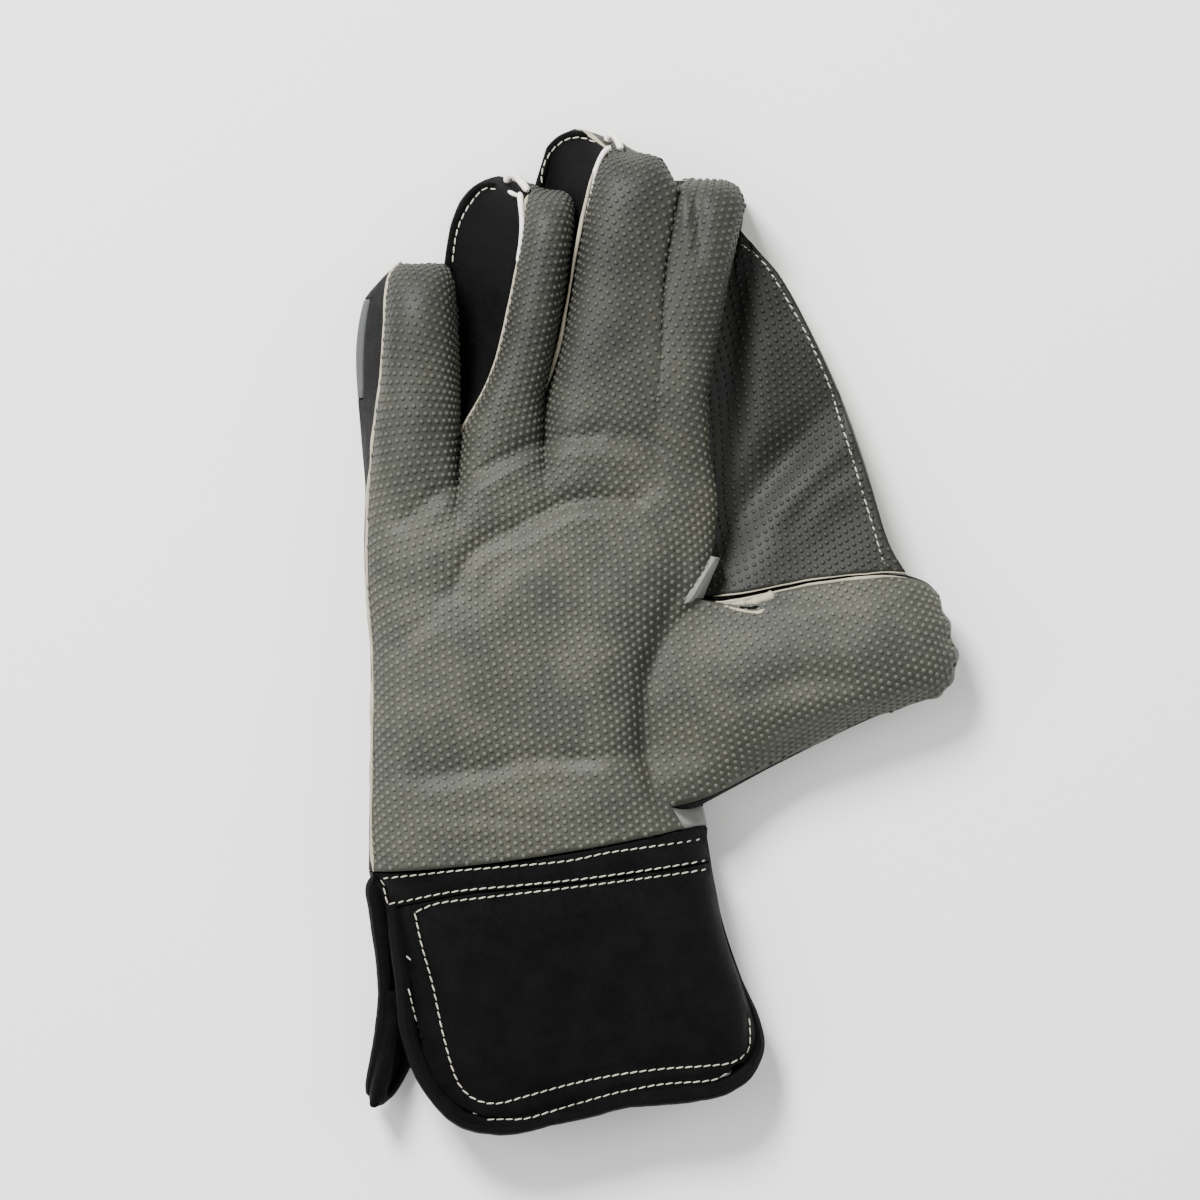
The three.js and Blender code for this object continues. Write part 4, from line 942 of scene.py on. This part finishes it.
# The seam between the cuff's band and its panel: x, where y is in the CAD, and where it is sewn
CUFF_SEAM = table(("x", "y", "sewn"), [
    (-78, -81, -82.4), (-69, -81, -80.7), (-61.4, -80.8, -79.2), (-52.8, -80.3, -78),
    (-45.2, -79.1, -77.2), (-37.5, -78.3, -76.6), (-29.6, -77, -75.9), (-21.5, -75.7, -75),
    (-13.3, -74.4, -73.8), (-5.2, -73, -72.2), (5, -70.9, -70.8), (15.4, -68.3, -69.2)])
# How far from that seam the leather moves with it, and how far past it each piece ends
SEAM_REACH, SEAM_OVERLAP = 9 * MM, 0.4 * MM
# The part of the roll that the panel is drawn to, how near it and how far
ROLL_AT_PANEL, PANEL_REACH, PANEL_PULL = slice(80, None), 7.5 * MM, 3.4 * MM
# The part of the roll that takes the place of the binding, and how wide
ROLL_FOR_BINDING, BINDING_REACH = slice(46, -46), 4.6 * MM
# How wide the panel's padding turns down to its outline
PANEL_TURN = 6 * MM
# How the crotch tab swells, and how it is shifted
TAB_SIDE, TAB_SWELL, TAB_SHIFT = (-0.84, -0.54, 0.3), 5 * MM, (1.4 * MM, 0, 2.5 * MM)
# How far the index finger's side wall is set back, between which places up the glove, over
# what length that starts and ends, and its share by height in millimetres
TUCK, TUCK_START, TUCK_END, TUCK_EASE = 2.8 * MM, 8 * MM, 122 * MM, 8 * MM
TUCK_HEIGHTS = {"height": (3, 10, 19, 23), "share": (0, 1, 1, 0.25)}


def sewn(mesh, seam, reach, overlap):
    """Moves a rim from where the CAD has it to where the seam is sewn, a little past it."""
    at = places(mesh)
    x, y, target = (np.array([row[key] for row in seam]) * MM for key in ("x", "y", "sewn"))
    here = np.interp(at[:, 0], x, y)
    share = eased(np.clip(1 - np.abs(at[:, 1] - here) / reach, 0, 1))
    at[:, 1] += share * (np.interp(at[:, 0], x, target) - here + overlap)
    move(mesh, at)


def tucked_under(mesh):
    """Sets the index finger's side wall back under the edge of its rubber, over the web."""
    at = places(mesh)
    beside_web = np.clip((at[:, 1] - TUCK_START) / TUCK_EASE, 0, 1) * np.clip(
        (TUCK_END - at[:, 1]) / TUCK_EASE, 0, 1)
    height = np.interp(at[:, 2] / MM, TUCK_HEIGHTS["height"], TUCK_HEIGHTS["share"])
    at[:, 0] -= TUCK * beside_web * height
    move(mesh, at)


def parted(mesh, line, reach):
    """Takes away the faces that lie near a line."""
    bm = bmesh.new()
    bm.from_mesh(mesh)
    middles = np.array([list(face.calc_center_median()) for face in bm.faces])
    close = nearest(middles, line)[0] < reach
    gone = [face for face, near in zip(bm.faces, close) if near]
    bmesh.ops.delete(bm, geom=gone, context="FACES")
    bm.to_mesh(mesh)
    bm.free()


def plumped(mesh, across, by, shift):
    """Swells a thin piece to one side, most at its middle, and shifts it off what lies below."""
    at, across = places(mesh), np.array(across)
    away = at - at.mean(0)
    side = away @ across
    along = away @ np.array((-across[1], across[0], 0))
    share = (side - side.min()) / np.ptp(side) * (1 - (along / abs(along).max()) ** 2)
    move(mesh, at + across * (by * share)[:, None] + shift)


class GLOVE_OT_leather(bpy.types.Operator):
    """The leather back, side panels, cuff and binding, with the cuff's raised panel"""
    bl_idname = "glove.leather"
    bl_label = "Leather back, sides and cuff"

    def execute(self, context):
        settings = context.scene.glove_leather
        roll = through(ROLL)
        for row in LEATHERS:
            node = row["node"]
            name = node + "_dressed"
            cage = wall_cage(node, from_below=node in ("glove_back", "cuff_back"))
            mesh = rounded(cage_object(cage, name), name, row["levels"])
            if node in ("cuff_band", "cuff_front"):
                side = 1 if node == "cuff_front" else -1
                sewn(mesh, CUFF_SEAM, SEAM_REACH, side * SEAM_OVERLAP)
            if node == "cuff_front":
                drawn_to(mesh, roll[ROLL_AT_PANEL], PANEL_REACH, PANEL_PULL)
            if node == "index_side":
                tucked_under(mesh)
            if node == "crotch_tab":
                plumped(mesh, TAB_SIDE, TAB_SWELL, TAB_SHIFT)
            if node == "cuff_binding":
                parted(mesh, roll[ROLL_FOR_BINDING], BINDING_REACH)
            piece = finished(name, mesh, [row["finish"]])
            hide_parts(node)
        slim = np.interp(np.linspace(0, 1, len(roll)), ROLL_SLIM["way"], ROLL_SLIM["share"])
        width = ROLL_WIDTH * MM
        cord("cuff_roll", roll, widths_along(len(roll), width, width, 0.06) * slim, "black leather")
        cuff = [bpy.data.objects[name + "_dressed"] for name in ("cuff_band", "cuff_front")]
        outline = np.r_[through(STITCH_LINES["panel"], 1), through(STITCH_LINES["panel_left"], 1)[::-1]]
        panel(cuff[1].data, outline, settings.padding, PANEL_TURN)
        lines = [dropped(through(points, 1), surface_of(cuff)) for points in STITCH_LINES.values()]
        for piece in cuff:
            quilted(piece.data, lines, settings.quilt_depth, settings.quilt_width)
        return {"FINISHED"}


# Piping


# Pale edges that show along the seams: on which piece, from where to where, how wide at both
# ends and how far off the seam, in millimetres
EDGES = table(("name", "piece", "start", "end", "first", "last", "shift"), [
    ("palm_edge", "palm_facing_rubber", (-84.2, -71.6), (-77, 110.5), 1.3, 1.1, (0, 0, 0.2)),
    ("ring_edge", "palm_facing_rubber", (-38.4, 131), (-58.1, 58.4), 1.4, 0.9, (-0.1, 0, 0.4)),
    ("middle_edge", "palm_facing_rubber", (-13.4, 144), (-32.6, 69.8), 1.4, 0.9, (-0.7, 0, 1.6)),
    ("thumb_edge", "palm_facing_rubber", (19, 8), (75.5, 16.5), 1.0, 0.9, (0, 0, 0)),
    ("web_edge", "thumb_web_rubber", (18, 10), (74.9, 17.6), 0.5, 0.5, (0, 0, 0)),
])
# How far those edges wave about, and over what length
EDGE_WAVE, EDGE_WAVE_SIZE = 0.2 * MM, 6 * MM
# White cords at the ring and middle fingertip and leather rolls round their side panels: the
# node that each takes the place of, its widths and the places that it runs through
CORDS = table(("name", "node", "first", "last", "points"), [
    ("ring_piping", "seam_piping_ring", 1.9, 1.2,
     [(-40.4, 130.8, 20.6), (-40, 127, 23.4), (-39.6, 122, 24.4), (-40, 116, 25), (-41, 110, 25)]),
    ("middle_piping", "seam_piping_middle", 1.7, 1.1,
     [(-13.4, 144.8, 18), (-15.6, 142.4, 20.4), (-17.8, 137.2, 22.4), (-19, 131.6, 23),
      (-20.6, 125.2, 23.2), (-22.6, 118.2, 23.4)]),
    ("ring_loop", "tip_loop_ring", 2.5, 2.2,
     [(-44.6, 134.8, 9), (-43.4, 136.4, 11), (-41.8, 136.4, 13), (-39.8, 134.2, 15.6),
      (-38, 131.6, 17.8)]),
    ("middle_loop", "tip_loop_middle", 2.4, 2.2,
     [(-14.4, 147, 8), (-13.4, 148.6, 10), (-12, 148.4, 12), (-10.9, 146.4, 14.4),
      (-10.2, 144.2, 16.4)]),
    ("ring_tab", None, 1.3, 1.3,
     [(-43.8, 131.4, 19.6), (-42, 130.4, 20.6), (-40.6, 130, 20.8)]),
])
SIDE_ROLL_WIDTH = 2.6 * MM
ROLLED_SIDES = {
    "ring_side_roll": [(-62.6, 106), (-61.6, 113.6), (-60.2, 121.4), (-58.2, 126.6),
                       (-55.2, 131.2), (-51.6, 133.6), (-47.8, 134)],
    "middle_side_roll": [(-35.4, 127), (-34.9, 135), (-33.6, 140.4), (-31.4, 144.8),
                         (-27.8, 148), (-23.6, 149.2), (-18, 148.2)],
}
# The opened seam at the thumb's crotch: the lining that shows, its hem and the slit between them,
# in millimetres, with how far each stands off the rubber
LINING = table(("name", "finish", "first", "last", "lift", "points"), [
    ("lining_patch", "cotton backing", 1.0, 3.4, -0.5, [(19.6, 8.4), (25, 8.3), (30, 9), (35.6, 11)]),
    ("lining_hem", "cotton backing", 0.8, 1.2, 0, [(20.6, 7.4), (25, 6.2), (30.4, 5.4), (32.6, 6.4)]),
    ("lining_slit", "black leather", 0.5, 0.8, 0.2, [(24.6, 7.1), (28, 6.8), (31, 7.2)]),
])


class GLOVE_OT_trim(bpy.types.Operator):
    """The pale edges of the seams, the fingertips' piping and the side panels' rolled edges"""
    bl_idname = "glove.trim"
    bl_label = "Pale edges, piping and rolls"

    def execute(self, context):
        noise.seed_set(NOISE_SEED)
        for row in EDGES:
            line = border(bpy.data.objects[row["piece"]].data)
            points = stretch(line, row["start"], row["end"])
            points = [point + noise.noise_vector(point / EDGE_WAVE_SIZE) * EDGE_WAVE
                      + Vector(row["shift"]) * MM for point in map(Vector, points)]
            widths = widths_along(len(points), row["first"] * MM, row["last"] * MM, 0.7)
            cord(row["name"], points, widths, "cotton backing")
        for row in CORDS:
            points = through(row["points"], 0.4)
            widths = widths_along(len(points), row["first"] * MM, row["last"] * MM, 0.1, 0.6)
            piece = cord(row["name"], points, widths, "piping")
            if row["node"]:
                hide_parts(row["node"])
        sides = surface_of([bpy.data.objects[f"fourchette_{pair}_dressed"]
                            for pair in ("little_ring", "ring_middle")])
        for name, points in ROLLED_SIDES.items():
            spots = [spot for spot, _ in dropped(through(points), sides)]
            widths = widths_along(len(spots), SIDE_ROLL_WIDTH, SIDE_ROLL_WIDTH, 0.05)
            cord(name, spots, widths, "black leather")
        palm = surface_of([bpy.data.objects["palm_facing_rubber"]])
        for row in LINING:
            path = through(row["points"], 0.4)
            spots = [spot for spot, _ in dropped(path, palm, row["lift"] * MM)]
            widths = widths_along(len(spots), row["first"] * MM, row["last"] * MM, 0.3)
            cord(row["name"], spots, widths, row["finish"])
        return {"FINISHED"}


# Stitching

# How much of its pitch a stitch fills, and how far it is turned off its line
STITCH_SHARE = 0.86
STITCH_TURN = math.radians(7)
# Below 1, a stitch is blunt at its ends
STITCH_BLUNTNESS = 0.55

FINGER_LINES = {
    "ring_side": [(-60.8, 110.6), (-59.9, 117.5), (-58.7, 122), (-56.6, 126.4), (-53.6, 130.4),
                  (-51.8, 132.2), (-49.7, 132.8), (-46, 131.7)],
    "middle_side": [(-34, 134.3), (-33.8, 137.6), (-32.6, 141.5), (-30.2, 145.1), (-26.6, 147.5),
                    (-22, 148), (-16.4, 145.9)],
    "web": [(25.7, 116), (32.6, 110.3), (39.8, 98.9), (45.8, 88.1), (52, 74.3), (55.3, 63.8),
            (58.9, 52.4), (62.6, 40.1), (66.2, 27.8), (68.6, 19.7)],
    "stray_end": [(-74.6, -97), (-73.6, -97.6), (-72.6, -98.6)],
}


class GLOVE_OT_stitching(bpy.types.Operator):
    """The sewing thread on the cuff, the fingers and the web"""
    bl_idname = "glove.stitching"
    bl_label = "Stitching"

    def execute(self, context):
        settings = context.scene.glove_stitches
        dressed = [piece for piece in bpy.data.objects
                   if piece.name.endswith(("_dressed", "_rubber", "_roll"))]
        top = surface_of(dressed)
        frames = []
        for lines, pitch in ((STITCH_LINES, settings.pitch), (FINGER_LINES, settings.fine_pitch)):
            for points in lines.values():
                spots = dropped(through(points, pitch / 2 / MM), top, settings.thread * 0.2)
                for i in range(1, len(spots) - 1, 2):
                    along = spots[i + 1][0] - spots[i - 1][0]
                    size = Matrix.Diagonal((pitch * STITCH_SHARE, settings.thread,
                                            settings.thread * 0.8, 1))
                    frames.append(standing(spots[i][0], spots[i][1], along)
                                  @ Matrix.Rotation(STITCH_TURN, 4, "Z") @ size)
        bm = bmesh.new()
        ball = bmesh.ops.create_uvsphere(bm, u_segments=8, v_segments=6, radius=0.5)["verts"]
        for vertex in ball:
            vertex.co.x = math.copysign(abs(vertex.co.x * 2) ** STITCH_BLUNTNESS / 2, vertex.co.x)
        copies("stitches", bm, frames, "thread")
        return {"FINISHED"}


# Studio

# Soft lights: where each hangs, in metres, its side and its power in watts
LIGHTS = table(("name", "x", "y", "z", "side", "power"), [
    ("key", -0.75, 1.25, 1.4, 0.6, 104.0),
    ("fill_right", 1.2, 0.2, 1.1, 1.0, 9.0),
    ("fill_left", -1.2, 0.1, 1.1, 1.0, 12.0),
    ("fill_front", 0.0, -1.2, 1.0, 1.2, 5.0),
])
SKY_STRENGTH = 0.55
# Where the photo's middle lies on the glove, and the height that is measured at
VIEW_X = -16.4 * MM
VIEW_Y = 9.2 * MM
VIEW_Z = 12 * MM


class GLOVE_OT_studio(bpy.types.Operator):
    """The pale floor, the soft lights and the camera above the glove"""
    bl_idname = "glove.studio"
    bl_label = "Studio"

    def execute(self, context):
        settings = context.scene.glove_studio
        bm = bmesh.new()
        bmesh.ops.create_grid(bm, x_segments=1, y_segments=1, size=settings.floor_size / 2)
        mesh = bpy.data.meshes.new("floor")
        bm.to_mesh(mesh)
        bm.free()
        floor = bpy.data.objects.new("floor", mesh)
        context.collection.objects.link(floor)
        material, tree, where = blank("Painted board")
        mottle = add(tree, "ShaderNodeTexNoise", {"Vector": where, "Scale": 3.0})
        tone = tuple(settings.floor)
        colours = painted(tree, mottle.outputs["Fac"], 0.3, 0.7, shade(tone, 0.99), tone)
        principled(tree, {"Base Color": colours, "Roughness": 0.9})
        mesh.materials.append(material)
        for row in LIGHTS:
            data = bpy.data.lights.new(row["name"], "AREA")
            data.size = row["side"]
            data.energy = row["power"]
            light = bpy.data.objects.new(row["name"], data)
            light.location = (row["x"], row["y"], row["z"])
            light.rotation_euler = (-light.location).to_track_quat("-Z", "Y").to_euler()
            context.collection.objects.link(light)
        world = bpy.data.worlds.new("Studio")
        world.use_nodes = True
        sky = world.node_tree.nodes["Background"]
        sky.inputs["Color"].default_value = (1, 1, 1, 1)
        sky.inputs["Strength"].default_value = SKY_STRENGTH
        context.scene.world = world
        data = bpy.data.cameras.new("camera")
        distance = settings.camera_height - VIEW_Z
        data.lens = data.sensor_width * distance / settings.view_width
        camera = bpy.data.objects.new("camera", data)
        camera.location = (VIEW_X, VIEW_Y, settings.camera_height)
        context.collection.objects.link(camera)
        context.scene.camera = camera
        return {"FINISHED"}


class GLOVE_PT_panel(bpy.types.Panel):
    """The glove's sizes and colours, and a button for each group of pieces"""
    bl_label = "Wicketkeeping glove"
    bl_idname = "GLOVE_PT_panel"
    bl_space_type = "VIEW_3D"
    bl_region_type = "UI"
    bl_category = "Glove"

    def draw(self, context):
        for group in SETTINGS:
            settings = getattr(context.scene, group)
            column = self.layout.column()
            for key in settings.__annotations__:
                column.prop(settings, key)
        for operator in OPERATORS:
            self.layout.operator(operator.bl_idname)


SETTINGS = {
    "glove_rubber": RubberSettings,
    "glove_leather": LeatherSettings,
    "glove_stitches": StitchSettings,
    "glove_studio": StudioSettings,
}
OPERATORS = (GLOVE_OT_studio, GLOVE_OT_leather, GLOVE_OT_rubber, GLOVE_OT_trim,
             GLOVE_OT_stitching)


def register():
    for cls in (*SETTINGS.values(), *OPERATORS, GLOVE_PT_panel):
        bpy.utils.register_class(cls)
    for name, group in SETTINGS.items():
        setattr(bpy.types.Scene, name, PointerProperty(type=group))


def unregister():
    for name in SETTINGS:
        delattr(bpy.types.Scene, name)
    for cls in reversed((*SETTINGS.values(), *OPERATORS, GLOVE_PT_panel)):
        bpy.utils.unregister_class(cls)


def main():
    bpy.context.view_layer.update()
    register()
    bpy.ops.glove.studio()
    bpy.ops.glove.leather()
    bpy.ops.glove.rubber()
    bpy.ops.glove.trim()
    bpy.ops.glove.stitching()


if __name__ == "__main__":
    main()
